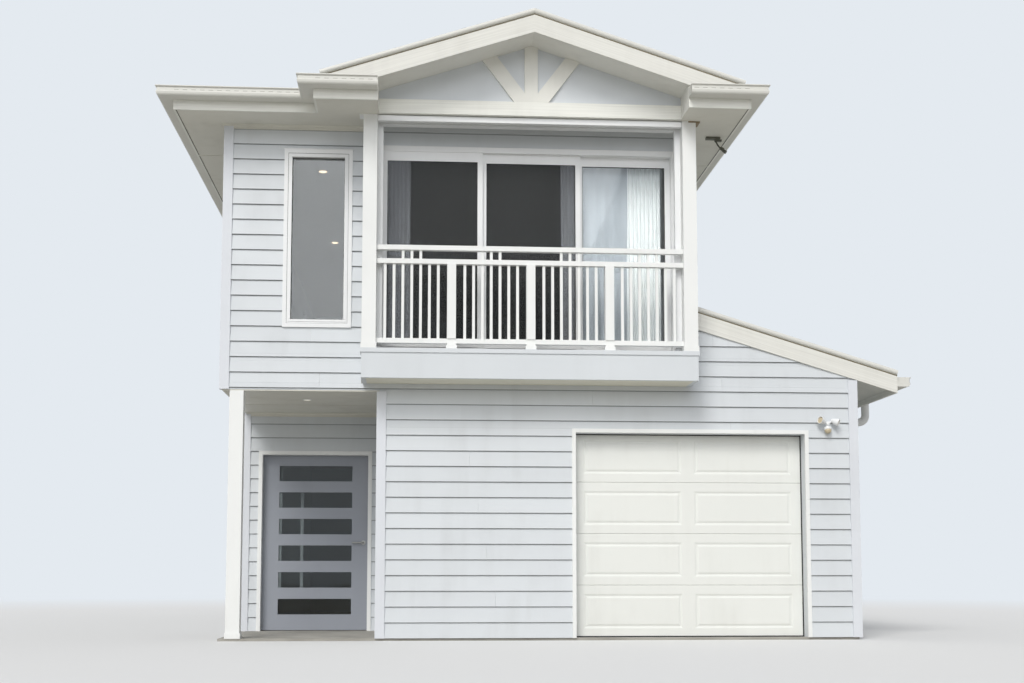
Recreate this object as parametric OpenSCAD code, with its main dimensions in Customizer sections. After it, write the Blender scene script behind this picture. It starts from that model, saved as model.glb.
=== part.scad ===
/* [Plan] */
// Width of the ground floor across the front, porch and garage together
house_w = 6609; // [6000:3:8000]
// Depth of the house from the front wall to the rear wall
house_d = 11000; // [9400:50:14000]
// Width of the upper floor at the front
upper_w = 4854; // [4600:2:5400]
// Width of the open porch at the left front corner
porch_w = 1608; // [1560:1:2000]
// Depth of the porch from the front wall to the entry wall
porch_d = 2000; // [1500:10:2600]
// Depth of the garage from the front wall
garage_d = 6400; // [5400:50:7700]
// Distance from the front wall back to the step in the right upper wall
step_d = 2750; // [1800:10:4500]
// Thickness of every outside wall
wall_t = 140; // [110:5:180]

/* [Levels] */
// Height of the floor slab above the ground
slab_t = 25; // [20:1:60]
// Height from the ground floor to the porch ceiling
ground_h = 2540; // [2400:5:3050]
// Thickness of the upper floor
floor_t = 300; // [250:5:360]
// Height from the upper floor to the eave lining
upper_h = 2480; // [2400:5:3000]

/* [Roof] */
// Overhang of the eaves past the walls
eave_w = 480; // [400:2:570]
// Pitch of the side slopes and of the front gable, in degrees
roof_pitch = 18; // [15:0.5:22]
// Pitch of the front and rear hip slopes, in degrees
hip_pitch = 15; // [12:0.5:18]
// Upright thickness of the roof at its slopes
roof_t = 120; // [90:5:150]
// Height of the fascia board
fascia_h = 200; // [170:5:240]
// Thickness of the fascia board
fascia_t = 22; // [16:1:32]
// Thickness of the eave and ceiling linings
lining_t = 12; // [9:1:20]
// Width of the gutter
gutter_w = 155; // [120:1:180]
// Height of the gutter
gutter_h = 105; // [85:1:125]
// Wall thickness of the gutter
gutter_t = 6; // [5:0.5:8]
// Distance that the front gable stands out past the balcony
gable_reach = 430; // [350:5:520]
// Width of each boxed eave return beside the gable
return_w = 635; // [520:5:760]
// Upright depth of the barge boards
barge_h = 177; // [150:1:210]
// Thickness of the barge boards
barge_t = 25; // [20:1:35]
// Height of the metal capping over the barge boards
capping_h = 68; // [55:1:80]
// Width of the metal capping across the barge line
capping_w = 150; // [120:5:180]
// Thickness of the folded capping sheet
capping_t = 6; // [4:0.5:8]
// Thickness of the smooth wall inside the gable
gable_wall_t = 60; // [50:5:80]

/* [Gable timbers] */
// Width of the upright king post
king_w = 136; // [110:2:165]
// Width of the two leaning struts
strut_w = 144; // [118:2:174]
// Lean of the struts from upright, in degrees
strut_lean = 37; // [31:1:44]
// Distance from the king post's centre to the foot of each strut's outer edge
strut_foot = 177; // [165:1:212]
// Thickness of the gable timbers
timber_t = 30; // [24:1:38]

/* [Garage roof] */
// Height above the ground floor at which the garage roof meets the upper wall
lean_h = 3416; // [3370:2:3700]
// Pitch of the garage roof, in degrees
lean_pitch = 17; // [14:0.5:18]
// Overhang of the garage roof past the side wall
lean_eave = 462; // [390:2:550]

/* [Balcony] */
// Width of the balcony
balcony_w = 3422; // [3200:2:3650]
// Distance that the balcony stands out from the front wall
balcony_d = 460; // [400:5:560]
// Height of the boxed rim round the balcony
rim_h = 258; // [220:2:300]
// Thickness of the boxed rim
rim_t = 45; // [35:1:60]
// Height of the underside of the balcony above the porch ceiling
rim_rise = 70; // [50:5:90]
// Height of the capping on the rim
rim_cap_h = 44; // [36:1:52]
// Distance that the rim capping stands proud of the rim
rim_cap_proud = 12; // [8:1:18]
// Side of the square balcony and porch posts
post_w = 142; // [118:1:170]
// Height of the beam over the balcony
beam_h = 147; // [120:1:175]
// Height of the beam's underside above the eave lining
beam_rise = 6; // [2:1:40]
// Depth of the balcony ceiling below the top of the beam
ceiling_drop = 60; // [40:1:75]
// Drop from the upper floor to the balcony floor
balcony_step = 15; // [10:1:30]

/* [Balustrade] */
// Height of the top rail above the rim capping
rail_top = 1065; // [1000:5:1270]
// Height of the second rail's top above the rim capping
rail_mid = 924; // [780:2:940]
// Height of the bottom rail's top above the rim capping
rail_low = 108; // [90:1:140]
// Height of each rail
rail_h = 49; // [40:1:60]
// Depth of each rail from front to back
rail_d = 65; // [54:1:80]
// Side of the three square newels
newel_w = 90; // [75:1:108]
// Side of the square balusters
baluster_w = 28; // [23:1:34]
// Balusters in each bay
baluster_n = 7; // [5:2:9]
// Balusters in the middle of each bay that run on up to the top rail
tall_n = 3; // [1:2:3]

/* [Sliding door] */
// Width of the sliding door opening
slider_w = 3110; // [2800:5:3140]
// Height of the sliding door opening above the upper floor
slider_h = 2290; // [2050:5:2350]
// Width of the sliding door's side frame
slider_jamb = 28; // [24:1:36]
// Height of the sliding door's head and sill frame
slider_head = 58; // [48:1:68]
// Width of the stiles of the sliding panels
stile_w = 55; // [46:1:66]
// Height of the top and bottom rails of the sliding panels
sash_rail = 100; // [84:1:120]
// Distance by which the stiles of neighbouring panels lap
stile_lap = 15; // [12:1:20]
// Distance by which the fixed right panel laps behind the middle one
fixed_lap = 33; // [27:1:40]
// Amount by which the fixed panel is narrower than the sliding ones
fixed_less = 60; // [50:1:72]
// Depth of one sliding panel
sash_d = 32; // [28:1:38]
// Thickness of all glass
glass_t = 8; // [6:1:10]

/* [Windows] */
// Distance from the middle of the front window to the balcony
window_gap = 478; // [440:2:520]
// Width of a window opening
window_w = 628; // [530:2:760]
// Height of a window opening
window_h = 1800; // [1500:5:2000]
// Height of the upper window sills above the upper floor
sill_h = 390; // [330:5:440]
// Width of the boards round a window or door
trim_w = 40; // [34:1:48]
// Distance that boards and frames stand proud of the walls
trim_proud = 28; // [24:1:34]
// Width of a window frame inside its opening
frame_w = 41; // [34:1:50]
// Width of the boards on the wall corners
corner_w = 70; // [58:1:84]

/* [Entry door] */
// Width of the entry doorway
entry_w = 1311; // [1180:1:1340]
// Height of the entry doorway
entry_h = 2083; // [1950:1:2200]
// Distance from the left wall to the entry doorway
entry_x = 168; // [150:1:200]
// Width of the entry frame's jambs and head
jamb_w = 30; // [25:1:36]
// Thickness of the entry door
leaf_t = 44; // [36:1:50]
// Gap round the entry door
leaf_gap = 7; // [6.5:0.5:9]
// Height of each glass light in the entry door
lite_h = 180; // [150:1:200]
// Distance from one glass light to the next
lite_pitch = 310; // [290:1:330]
// Number of glass lights
lite_n = 6; // [4:1:6]
// Width of the door's side stiles
entry_stile = 195; // [165:1:225]
// Distance from the top of the door to the first light
entry_top = 129; // [110:1:155]

/* [Garage door] */
// Width of the garage door opening
garage_door_w = 2420; // [2100:5:2500]
// Height of the garage door opening
garage_door_h = 2118; // [1950:1:2300]
// Distance from the garage door opening to the right wall
garage_door_in = 546; // [450:2:900]
// Number of hinged sections in the garage door
section_n = 4; // [3:1:5]
// Thickness of a door section
section_t = 40; // [34:1:48]
// Gap between the wall and the garage door behind it
section_gap = 16; // [12:1:20]
// Height of the raised border round each pressed panel
emboss = 8; // [6:0.5:10]

/* [Hidden] */

// How far a cut runs past the faces that it opens
past = 5;

// Lines in plan
left_x = -house_w / 2;
right_x = house_w / 2;
front_y = -house_d / 2;
rear_y = house_d / 2;
porch_x = left_x + porch_w;
upper_x = left_x + upper_w;
step_x = upper_x + eave_w - fascia_t;
step_y = front_y + step_d;
garage_y = front_y + garage_d;
entry_y = front_y + porch_d;

// Levels
floor_z = slab_t;
porch_z = floor_z + ground_h;
upper_z = porch_z + floor_t;
eave_z = upper_z + upper_h;
wall_top = eave_z + lining_t;
roof_z = eave_z + fascia_h;

// Balcony lines, all from its centre line
balcony_x = upper_x - balcony_w / 2;
balcony_left = balcony_x - balcony_w / 2;
balcony_y = front_y - balcony_d;
rim_z = porch_z + rim_rise;
rim_top = rim_z + rim_h + rim_cap_h;
beam_z = eave_z + beam_rise;
beam_top = beam_z + beam_h;
gable_y = balcony_y - gable_reach;

// Eave lines of the hipped roof and of the gable, which share the right eave
eave_left = left_x - eave_w;
eave_right = upper_x + eave_w;
eave_rear = rear_y + eave_w;
gable_left = 2 * balcony_x - eave_right;
gable_top = roof_z + (eave_right - balcony_x) * tan(roof_pitch);
ridge_x = (eave_right + eave_left) / 2;
ridge_z = roof_z + (eave_right - ridge_x) * tan(roof_pitch);
hip_run = (ridge_z - roof_z) / tan(hip_pitch);
soffit_drop = barge_h - lining_t;

// Garage roof: its slope line, its underside, the wall tops under it and the line of its fascia
lean_x = right_x + lean_eave;
function lean_line(x) = floor_z + lean_h - (x - upper_x) * tan(lean_pitch);
function lean_under(x) = lean_line(x) - roof_t;
lean_fit = 0.1;
function lean_seat(x) = lean_under(x) - lean_fit;

// The eave in plan, clockwise from the inner end of the left return to that of the right one
eave_path = [[gable_left + return_w, gable_y], [gable_left, gable_y], [gable_left, balcony_y],
    [eave_left, balcony_y], [eave_left, eave_rear], [eave_right, eave_rear], [eave_right, gable_y],
    [eave_right - return_w, gable_y]];
lean_path = [[lean_x, garage_y], [lean_x, front_y]];
rim_path = [[upper_x, front_y], [upper_x, balcony_y], [balcony_left, balcony_y],
    [balcony_left, front_y]];

// Outline of the ground floor, and of the upper floor drawn in by a distance
ground_plan = [[left_x, front_y], [right_x, front_y], [right_x, garage_y], [step_x, garage_y],
    [step_x, rear_y], [left_x, rear_y]];
function upper_plan(d) = [[left_x + d, front_y + d], [upper_x - d, front_y + d],
    [upper_x - d, step_y + d], [step_x - d, step_y + d], [step_x - d, rear_y - d],
    [left_x + d, rear_y - d]];

// Windows: side of the house, distance along it as seen from outside, and sill height
window_in = upper_w - balcony_w - window_gap;
upper_sill = upper_z + sill_h;
lower_sill = floor_z + sill_h;
right_mid = (garage_d + house_d) / 2;
rear_w = step_x - left_x;
left_near = 0.2 * house_d;
left_far = 0.62 * house_d;
left_hall = 0.55 * house_d;
rear_in = 0.27 * rear_w;
windows = [["front", window_in, upper_sill],
    ["left", left_near, upper_sill], ["left", left_far, upper_sill],
    ["left", left_near, lower_sill], ["left", left_hall, lower_sill],
    ["right", right_mid, upper_sill], ["right", right_mid, lower_sill],
    ["rear", rear_in, upper_sill], ["rear", rear_w - rear_in, upper_sill],
    ["rear", rear_in, lower_sill], ["rear", rear_w - rear_in, lower_sill]];

// Colours
board_c = "#d9dee3";
cream_c = "#ece9df";
white_c = "#f4f4f1";
grey_c = "#9aa0a8";
steel_c = "#b8bcc0";
glass_c = [0.35, 0.42, 0.46, 0.5];
concrete_c = "#b9b6ae";
cloth_c = "#f6f6f4";

// A slab standing upright along X, its outline drawn in X and Z, from y to y + t
module upright(y, t) translate([0, y + t, 0]) rotate([90, 0, 0]) linear_extrude(t) children();

// A slab standing upright along Y, its outline drawn in Y and Z, from x to x + t
module sideways(x, t) translate([x, 0, 0]) rotate([90, 0, 90]) linear_extrude(t) children();

// A flat slab, its outline drawn in plan, from z to z + t
module flat(z, t) translate([0, 0, z]) linear_extrude(t) children();

// A rectangle between two corners
module span(a0, b0, a1, b1) translate([a0, b0]) square([a1 - a0, b1 - b0]);

// A rectangular ring: sides of width w, top and bottom of height h, inside two corners
module ring(a0, b0, a1, b1, w, h) difference() {
    span(a0, b0, a1, b1);
    span(a0 + w, b0 + h, a1 - w, b1 - h);
}

// Draws its children, and again mirrored about the balcony's centre line
module both_sides() {
    children();
    translate([2 * balcony_x, 0, 0]) mirror([1, 0, 0]) children();
}

// Direction of run i of a path, and the direction out to its left
function along(path, i) = (path[i + 1] - path[i]) / norm(path[i + 1] - path[i]);
function outward(path, i) = [-along(path, i)[1], along(path, i)[0]];

// Point i of a path moved out by w, so that runs at right angles meet on a mitre
function mitred(path, i, w) = i == 0 ? path[0] + w * outward(path, 0)
    : i == len(path) - 1 ? path[i] + w * outward(path, i - 1)
    : path[i] + w * (outward(path, i - 1) + outward(path, i));

// The band in plan between two distances out from a path
module band(path, w0, w1) polygon(concat([for (i = [0:len(path) - 1]) mitred(path, i, w0)],
    [for (i = [len(path) - 1:-1:0]) mitred(path, i, w1)]));

// Puts its children on the outer face of one side: X along the wall, Y into it, Z up
module on_side(side) {
    corner = side == "front" ? [left_x, front_y] : side == "right" ? [step_x, front_y]
        : side == "rear" ? [step_x, rear_y] : [left_x, rear_y];
    turn = side == "front" ? 0 : side == "right" ? 90 : side == "rear" ? 180 : -90;
    translate([corner[0], corner[1], 0]) rotate([0, 0, turn]) children();
}

// Repeats its children at the middle of the sill of every window
module each_window() for (w = windows) on_side(w[0]) translate([w[1], 0, w[2]]) children();

// Cuts the windows of one side and storey out of the wall given as children
module with_windows(side, sill) difference() {
    children();
    for (w = windows) if (w[0] == side && w[2] == sill)
        on_side(side) translate([w[1], 0, sill]) upright(-past, wall_t + 2 * past)
            span(-window_w / 2, 0, window_w / 2, window_h);
}

// Ground floor
module ground_slab() color(concrete_c) flat(0, slab_t) polygon(ground_plan);

door_x = right_x - garage_door_in - garage_door_w;

// The garage doorway in elevation, grown on three sides and carried down past its foot
module garage_doorway(grow, foot) {
    span(door_x - grow, floor_z - foot, door_x + garage_door_w + grow,
        floor_z + garage_door_h + grow);
}

module garage_front_wall() color(board_c) upright(front_y, wall_t) difference() {
    polygon([[porch_x, floor_z], [right_x, floor_z], [right_x, lean_seat(right_x)],
        [upper_x, lean_seat(upper_x)], [upper_x, porch_z], [porch_x, porch_z]]);
    garage_doorway(0, past);
}

// Side wall of the porch, with the short return beside the entry doorway
module porch_side_wall() color(board_c) flat(floor_z, ground_h) {
    span(porch_x, front_y + wall_t, porch_x + wall_t, entry_y + wall_t);
    span(left_x + entry_x + entry_w, entry_y, porch_x, entry_y + wall_t);
}

module entry_wall_left() color(board_c) flat(floor_z, ground_h)
    span(left_x, entry_y, left_x + entry_x, entry_y + wall_t);

module entry_wall_over() color(board_c) upright(entry_y, wall_t)
    span(left_x + entry_x, floor_z + entry_h, left_x + entry_x + entry_w, porch_z);

module lower_left_wall() color(board_c) with_windows("left", lower_sill) flat(floor_z, ground_h)
    span(left_x, entry_y + wall_t, left_x + wall_t, rear_y - wall_t);

module lower_rear_wall() color(board_c) with_windows("rear", lower_sill) flat(floor_z, ground_h)
    span(left_x, rear_y - wall_t, step_x, rear_y);

module lower_right_wall() color(board_c) with_windows("right", lower_sill) flat(floor_z, ground_h)
    span(step_x - wall_t, garage_y, step_x, rear_y - wall_t);

// Garage walls, their tops raked to the underside of the roof
module garage_side_wall() color(board_c) upright(front_y + wall_t, garage_d - wall_t)
    polygon([[right_x - wall_t, floor_z], [right_x, floor_z], [right_x, lean_seat(right_x)],
        [right_x - wall_t, lean_seat(right_x - wall_t)]]);

module garage_rear_wall() color(board_c) upright(garage_y - wall_t, wall_t)
    polygon([[step_x - wall_t, floor_z], [right_x - wall_t, floor_z],
        [right_x - wall_t, lean_seat(right_x - wall_t)], [step_x, lean_seat(step_x)],
        [step_x, porch_z], [step_x - wall_t, porch_z]]);

// Upper floor
module upper_floor() color(concrete_c) flat(porch_z, floor_t) polygon(upper_plan(0));

module upper_front_wall() color(board_c) with_windows("front", upper_sill)
    upright(front_y, wall_t) difference() {
        span(left_x, upper_z, upper_x, wall_top);
        span(balcony_x - slider_w / 2, upper_z - past, balcony_x + slider_w / 2,
            upper_z + slider_h);
    }

module upper_left_wall() color(board_c) with_windows("left", upper_sill)
    flat(upper_z, wall_top - upper_z)
        span(left_x, front_y + wall_t, left_x + wall_t, rear_y - wall_t);

module upper_rear_wall() color(board_c) with_windows("rear", upper_sill)
    flat(upper_z, wall_top - upper_z) span(left_x, rear_y - wall_t, step_x, rear_y);

module upper_right_wall() color(board_c) with_windows("right", upper_sill)
    flat(upper_z, wall_top - upper_z) span(step_x - wall_t, step_y, step_x, rear_y - wall_t);

// The front stretch of the right wall, with the return that steps out to the eave
module upper_step_wall() color(board_c) flat(upper_z, wall_top - upper_z) {
    span(upper_x - wall_t, front_y + wall_t, upper_x, step_y + wall_t);
    span(upper_x, step_y, step_x - wall_t, step_y + wall_t);
}

module ceiling() color(white_c) flat(eave_z, lining_t) polygon(upper_plan(wall_t));

// The eave returns in plan: boxes at both feet of the gable, drawn in at the fascia
module return_plan(back) both_sides()
    span(gable_left + fascia_t, gable_y + fascia_t, gable_left + return_w, back);

// Flat linings under the eaves and returns, over the balcony and over the porch
module eave_lining() color(cream_c) {
    flat(eave_z, lining_t) difference() {
        union() {
            span(eave_left + fascia_t, balcony_y + fascia_t, eave_right - fascia_t,
                eave_rear - fascia_t);
            return_plan(balcony_y + fascia_t + past);
        }
        polygon(upper_plan(0));
        span(balcony_left, balcony_y, upper_x, front_y + past);
    }
    flat(beam_top - ceiling_drop, lining_t)
        span(balcony_left, balcony_y + post_w, upper_x, front_y);
    flat(porch_z - lining_t, lining_t) span(left_x, front_y, porch_x, entry_y);
}

// The hipped roof as a solid, its slopes lowered by drop and its foot drawn in by inset
module hip_solid(drop, inset) {
    side_z = roof_z + inset * tan(roof_pitch) - drop;
    end_z = roof_z + inset * tan(hip_pitch) - drop;
    y0 = balcony_y + inset;
    y1 = eave_rear - inset;
    x0 = eave_left + inset;
    x1 = eave_right - inset;
    intersection() {
        upright(y0, y1 - y0) polygon([[x0, wall_top], [x1, wall_top], [x1, side_z],
            [ridge_x, ridge_z - drop], [x0, side_z]]);
        sideways(x0, x1 - x0) polygon([[y0, wall_top], [y1, wall_top], [y1, end_z],
            [eave_rear - hip_run, ridge_z - drop], [balcony_y + hip_run, ridge_z - drop],
            [y0, end_z]]);
    }
}

// The hipped roof without the balcony bay, which the gable covers
module hip_body() difference() {
    hip_solid(0, fascia_t);
    flat(wall_top - past, ridge_z) span(balcony_left, balcony_y - past, upper_x, front_y);
}

// Hipped roof: a shell over the rooms that is solid over the walls and eaves
roof_bearing = 30;
module main_roof() color(cream_c) difference() {
    hip_body();
    intersection() {
        hip_solid(roof_t, fascia_t);
        flat(wall_top - past, ridge_z) polygon(upper_plan(wall_t + roof_bearing));
    }
}

// The two slopes of the gable in elevation, between the roof line lowered by two amounts
module gable_section(top, bottom, inset) {
    foot = roof_z + inset * tan(roof_pitch);
    polygon([[gable_left + inset, foot - top], [balcony_x, gable_top - top],
        [eave_right - inset, foot - top], [eave_right - inset, foot - bottom],
        [balcony_x, gable_top - bottom], [gable_left + inset, foot - bottom]]);
}

// The space under the gable's raked lining, across the balcony and up from z
module gable_bay(z) {
    side_z = gable_top - soffit_drop - balcony_w / 2 * tan(roof_pitch);
    polygon([[balcony_left, z], [upper_x, z], [upper_x, side_z],
        [balcony_x, gable_top - soffit_drop], [balcony_left, side_z]]);
}

// Gable roof: two slopes that run back onto the front hip, and the solid boxes of the returns
module gable_roof() color(cream_c) difference() {
    union() {
        gable_slopes(barge_t, 0, soffit_drop);
        intersection() {
            flat(wall_top, gable_top) return_plan(balcony_y + fascia_t);
            upright(gable_y, front_y - gable_y) polygon([[gable_left, wall_top],
                [eave_right, wall_top], [eave_right, roof_z - barge_t],
                [balcony_x, gable_top - barge_t], [gable_left, roof_z - barge_t]]);
        }
    }
    hip_body();
    upright(gable_y, barge_t) gable_section(0, barge_h, 0);
    upright(balcony_y, balcony_d) gable_bay(wall_top - past);
}

// Garage roof: one slope against the upper wall, open where that wall steps out
module garage_roof() color(cream_c) difference() {
    upright(front_y, garage_d)
        polygon([[upper_x, lean_line(upper_x)], [lean_x - fascia_t, lean_line(lean_x - fascia_t)],
            [lean_x - fascia_t, lean_under(lean_x - fascia_t)], [upper_x, lean_under(upper_x)]]);
    flat(porch_z, eave_z) span(upper_x - past, step_y, step_x, garage_y + past);
}

module fascia_boards() color(cream_c) {
    flat(eave_z, fascia_h) band(eave_path, -fascia_t, 0);
    flat(lean_line(lean_x) - barge_h, barge_h) band(lean_path, -fascia_t, 0);
}

// A folded gutter outside a path: sole, back, and front with a rolled lip, with closed ends
gutter_lip = 10;
module gutter(path, top) {
    z = top - gutter_h;
    last = len(path) - 1;
    flat(z, gutter_t) band(path, 0, gutter_w);
    flat(z, gutter_h) band(path, 0, gutter_t);
    flat(z, gutter_h) band(path, gutter_w - gutter_t, gutter_w);
    flat(top - gutter_lip, gutter_lip)
        band(path, gutter_w - gutter_t - gutter_lip / 2, gutter_w + gutter_lip / 2);
    flat(z, gutter_h) {
        band([path[0], path[0] + gutter_t * along(path, 0)], 0, gutter_w);
        band([path[last] - gutter_t * along(path, last - 1), path[last]], 0, gutter_w);
    }
}

module gutters() color(cream_c) {
    gutter(eave_path, roof_z);
    gutter(lean_path, lean_line(lean_x));
}

// A quarter bend of a round bar in X and Z, about the origin, from start degrees above +X
module quarter_bend(start, bend_r, bar_r) rotate([90, 0, 0]) rotate([0, 0, start])
    rotate_extrude(angle = 90) translate([bend_r, 0]) circle(r = bar_r);

// Downpipe from a gutter's sole at x0 down, in to the wall at the smaller x1 and down to its foot
pipe_r = 45;
pipe_bend = 80;
pipe_gap = 25;
pipe_drop = 240;
pipe_foot = 40;
module downpipe(x0, x1, y, top) {
    z = top - pipe_drop;
    translate([x0, y, z + pipe_bend]) cylinder(r = pipe_r, h = pipe_drop - pipe_bend);
    translate([x0 - pipe_bend, y, z + pipe_bend]) quarter_bend(-90, pipe_bend, pipe_r);
    translate([x1 + pipe_bend, y, z]) rotate([0, 90, 0])
        cylinder(r = pipe_r, h = x0 - x1 - 2 * pipe_bend);
    translate([x1 + pipe_bend, y, z - pipe_bend]) quarter_bend(90, pipe_bend, pipe_r);
    translate([x1, y, pipe_foot]) cylinder(r = pipe_r, h = z - pipe_bend - pipe_foot);
}

// Downpipes: garage eave near the front, main eave at the rear on both sides
pipe_out = gutter_w / 2;
garage_pipe_in = 1280;
rear_pipe_in = 600;
module downpipes() color(cream_c) {
    wall_side = pipe_r + pipe_gap;
    eave_pipe_z = roof_z - gutter_h;
    downpipe(lean_x + pipe_out, right_x + wall_side, front_y + garage_pipe_in,
        lean_line(lean_x) - gutter_h);
    mirror([1, 0, 0]) downpipe(pipe_out - eave_left, wall_side - left_x, rear_y - rear_pipe_in,
        eave_pipe_z);
    translate([eave_right + pipe_out, rear_y - rear_pipe_in, pipe_foot])
        cylinder(r = pipe_r, h = eave_pipe_z - pipe_foot);
}

// The garage slope in elevation from x out, between the roof line lowered by two amounts
module lean_section(x, top, bottom) polygon([[x, lean_line(x) - top],
    [lean_x, lean_line(lean_x) - top], [lean_x, lean_line(lean_x) - bottom],
    [x, lean_line(x) - bottom]]);

// Repeats its children, which stand at the front of the garage, at its rear
module at_rear() translate([0, front_y + garage_y, 0]) mirror([0, 1, 0]) children();

// Barge boards: the gable's stop on the returns, the garage's lie on its front and rear walls
module garage_barge(x) upright(front_y - barge_t, barge_t) lean_section(x, 0, barge_h);

module barge_boards() color(cream_c) {
    upright(gable_y, barge_t) difference() {
        gable_section(0, barge_h, 0);
        both_sides() span(gable_left - past, eave_z, gable_left + return_w, roof_z);
    }
    garage_barge(upper_x);
    at_rear() garage_barge(step_x);
}

// Folded capping over the barges: a front leg that laps them, a top and a back leg
capping_lap = 15;
capping_foot = 60;
module garage_capping(x) {
    upright(front_y - barge_t - capping_t, capping_t) lean_section(x, -capping_h, capping_lap);
    upright(front_y - barge_t, capping_w) lean_section(x, -capping_h, capping_t - capping_h);
    upright(front_y - barge_t + capping_w, capping_t) lean_section(x, -capping_h, 0);
}

// A strip in plan from one point to another, w wide
module strip(p, q, w) {
    side = [p[1] - q[1], q[0] - p[0]] * w / 2 / norm(q - p);
    polygon([p - side, q - side, q + side, p + side]);
}

// Plan of the capping on the ridge, on the hips and on the ridge of the gable
ridge_cap_w = 240;
module ridge_plan() {
    front = [ridge_x, balcony_y + hip_run];
    rear = [ridge_x, eave_rear - hip_run];
    valley = [balcony_x, balcony_y + (balcony_x - gable_left) * tan(roof_pitch) / tan(hip_pitch)];
    strip(front, rear, ridge_cap_w);
    strip(front, [eave_left, balcony_y], ridge_cap_w);
    strip(rear, [eave_left, eave_rear], ridge_cap_w);
    strip(rear, [eave_right, eave_rear], ridge_cap_w);
    strip(front, valley, ridge_cap_w);
    strip(valley, [balcony_x, gable_y], ridge_cap_w);
}

// The slopes of the gable from a distance behind its face, between two amounts below the roof line
module gable_slopes(behind, top, bottom) upright(gable_y + behind,
    balcony_y + hip_run - gable_y - behind) gable_section(top, bottom, fascia_t);

// Ridge and hip capping, a band lying on the slopes
ridge_cap_h = 26;
module ridge_capping() difference() {
    intersection() {
        union() {
            hip_solid(-ridge_cap_h, fascia_t);
            gable_slopes(capping_w + capping_t, -ridge_cap_h, 0);
        }
        flat(roof_z, ridge_z) ridge_plan();
    }
    hip_solid(0, fascia_t);
    gable_slopes(0, 0, ridge_z - wall_top);
}

module roof_capping() color(cream_c) {
    upright(gable_y - capping_t, capping_t) gable_section(-capping_h, capping_lap, capping_foot);
    upright(gable_y, capping_w) gable_section(-capping_h, capping_t - capping_h, capping_foot);
    upright(gable_y + capping_w, capping_t) gable_section(-capping_h, 0, capping_foot);
    garage_capping(upper_x);
    at_rear() garage_capping(step_x);
    ridge_capping();
}

module gable_wall() color(board_c) upright(balcony_y, gable_wall_t) gable_bay(beam_top);

// King post and two leaning struts on the face of the gable wall
module gable_timbers() color(cream_c) upright(balcony_y - timber_t, timber_t) intersection() {
    gable_bay(beam_top);
    union() {
        span(balcony_x - king_w / 2, beam_top, balcony_x + king_w / 2, gable_top);
        both_sides() translate([balcony_x + strut_foot, beam_top]) rotate(-strut_lean)
            span(-strut_w, -strut_w, 0, gable_top - beam_top);
    }
}

module balcony_beam() color(cream_c) upright(balcony_y, post_w)
    span(balcony_left, beam_z, upper_x, beam_top);

module balcony_floor() color(cream_c) flat(rim_z, upper_z - balcony_step - rim_z)
    span(balcony_left + rim_t, balcony_y + rim_t, upper_x - rim_t, front_y);

// Boxed rim, and the capping that the posts stand on
rim_cap_in = 10;
module balcony_rim() color(board_c) {
    flat(rim_z, rim_h) band(rim_path, -rim_t, 0);
    flat(rim_z + rim_h, rim_cap_h) band(rim_path, -post_w - rim_cap_in, rim_cap_proud);
}

// Square post with a low skirt at its foot, its corner at x and y
skirt_h = 55;
skirt_proud = 8;
module post(x, y, z0, z1) {
    flat(z0, z1 - z0) span(x, y, x + post_w, y + post_w);
    flat(z0, skirt_h) span(x - skirt_proud, y - skirt_proud, x + post_w + skirt_proud,
        y + post_w + skirt_proud);
}

// Balcony posts, each with a small head plate that stands out under the eave lining
post_head_t = 12;
post_head_out = 42;
module balcony_posts() color(white_c) both_sides() {
    post(balcony_left, balcony_y, rim_top, beam_z);
    flat(eave_z - post_head_t, post_head_t) span(balcony_left - post_head_out, balcony_y,
        balcony_left + post_w, balcony_y + post_w);
}

// Balustrade lines: the rails' centre line and the clear width of each bay
rail_y = balcony_y + post_w / 2;
bay_w = (balcony_w - 2 * post_w - 3 * newel_w) / 4;
side_w = balcony_d - post_w;
rail_tops = [rail_low, rail_mid, rail_top];

// Rails between the posts, and short ones from each post back to the wall
module balustrade_rails() color(white_c) for (top = rail_tops)
    flat(rim_top + top - rail_h, rail_h) {
        span(balcony_left + post_w, rail_y - rail_d / 2, upper_x - post_w, rail_y + rail_d / 2);
        both_sides() span(balcony_left + post_w / 2 - rail_d / 2, balcony_y + post_w,
            balcony_left + post_w / 2 + rail_d / 2, front_y);
    }

// A square upright between two heights above the rim capping
module stick(x, y, w, low, high) flat(rim_top + low, high - low)
    span(x - w / 2, y - w / 2, x + w / 2, y + w / 2);

// Newels with flared feet, and balusters of which the middle ones run on up to the top rail
newel_foot = 40;
newel_flare = 10;
side_n = 2;
module balusters() color(white_c) {
    for (k = [-1:1]) {
        x = balcony_x + k * (bay_w + newel_w);
        stick(x, rail_y, newel_w, rail_low, rail_mid - rail_h);
        stick(x, rail_y, newel_w, 0, rail_low - rail_h);
        stick(x, rail_y, newel_w + 2 * newel_flare, 0, newel_foot);
    }
    for (bay = [0:3]) for (i = [1:baluster_n]) {
        x = balcony_left + post_w + bay * (bay_w + newel_w) + i * bay_w / (baluster_n + 1);
        stick(x, rail_y, baluster_w, rail_low, rail_mid - rail_h);
        if (abs(i - (baluster_n + 1) / 2) <= (tall_n - 1) / 2)
            stick(x, rail_y, baluster_w, rail_mid, rail_top - rail_h);
    }
    both_sides() for (i = [1:side_n])
        stick(balcony_left + post_w / 2, balcony_y + post_w + i * side_w / (side_n + 1),
            baluster_w, rail_low, rail_mid - rail_h);
}

// Outdoor blind: head box behind the beam, and a guide channel behind each post
blind_h = 110;
blind_d = 90;
blind_below = 62;
guide_w = 58;
guide_d = 60;
guide_lap = 20;
module blind_box() color(white_c) {
    z = beam_z - blind_below;
    y = balcony_y + post_w;
    flat(z, blind_h) span(balcony_left + post_w + guide_w, y, upper_x - post_w - guide_w,
        y + blind_d);
    both_sides() flat(rim_top + skirt_h, z + blind_h - rim_top - skirt_h)
        span(balcony_left + post_w - guide_lap, y, balcony_left + post_w + guide_w, y + guide_d);
}

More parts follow.
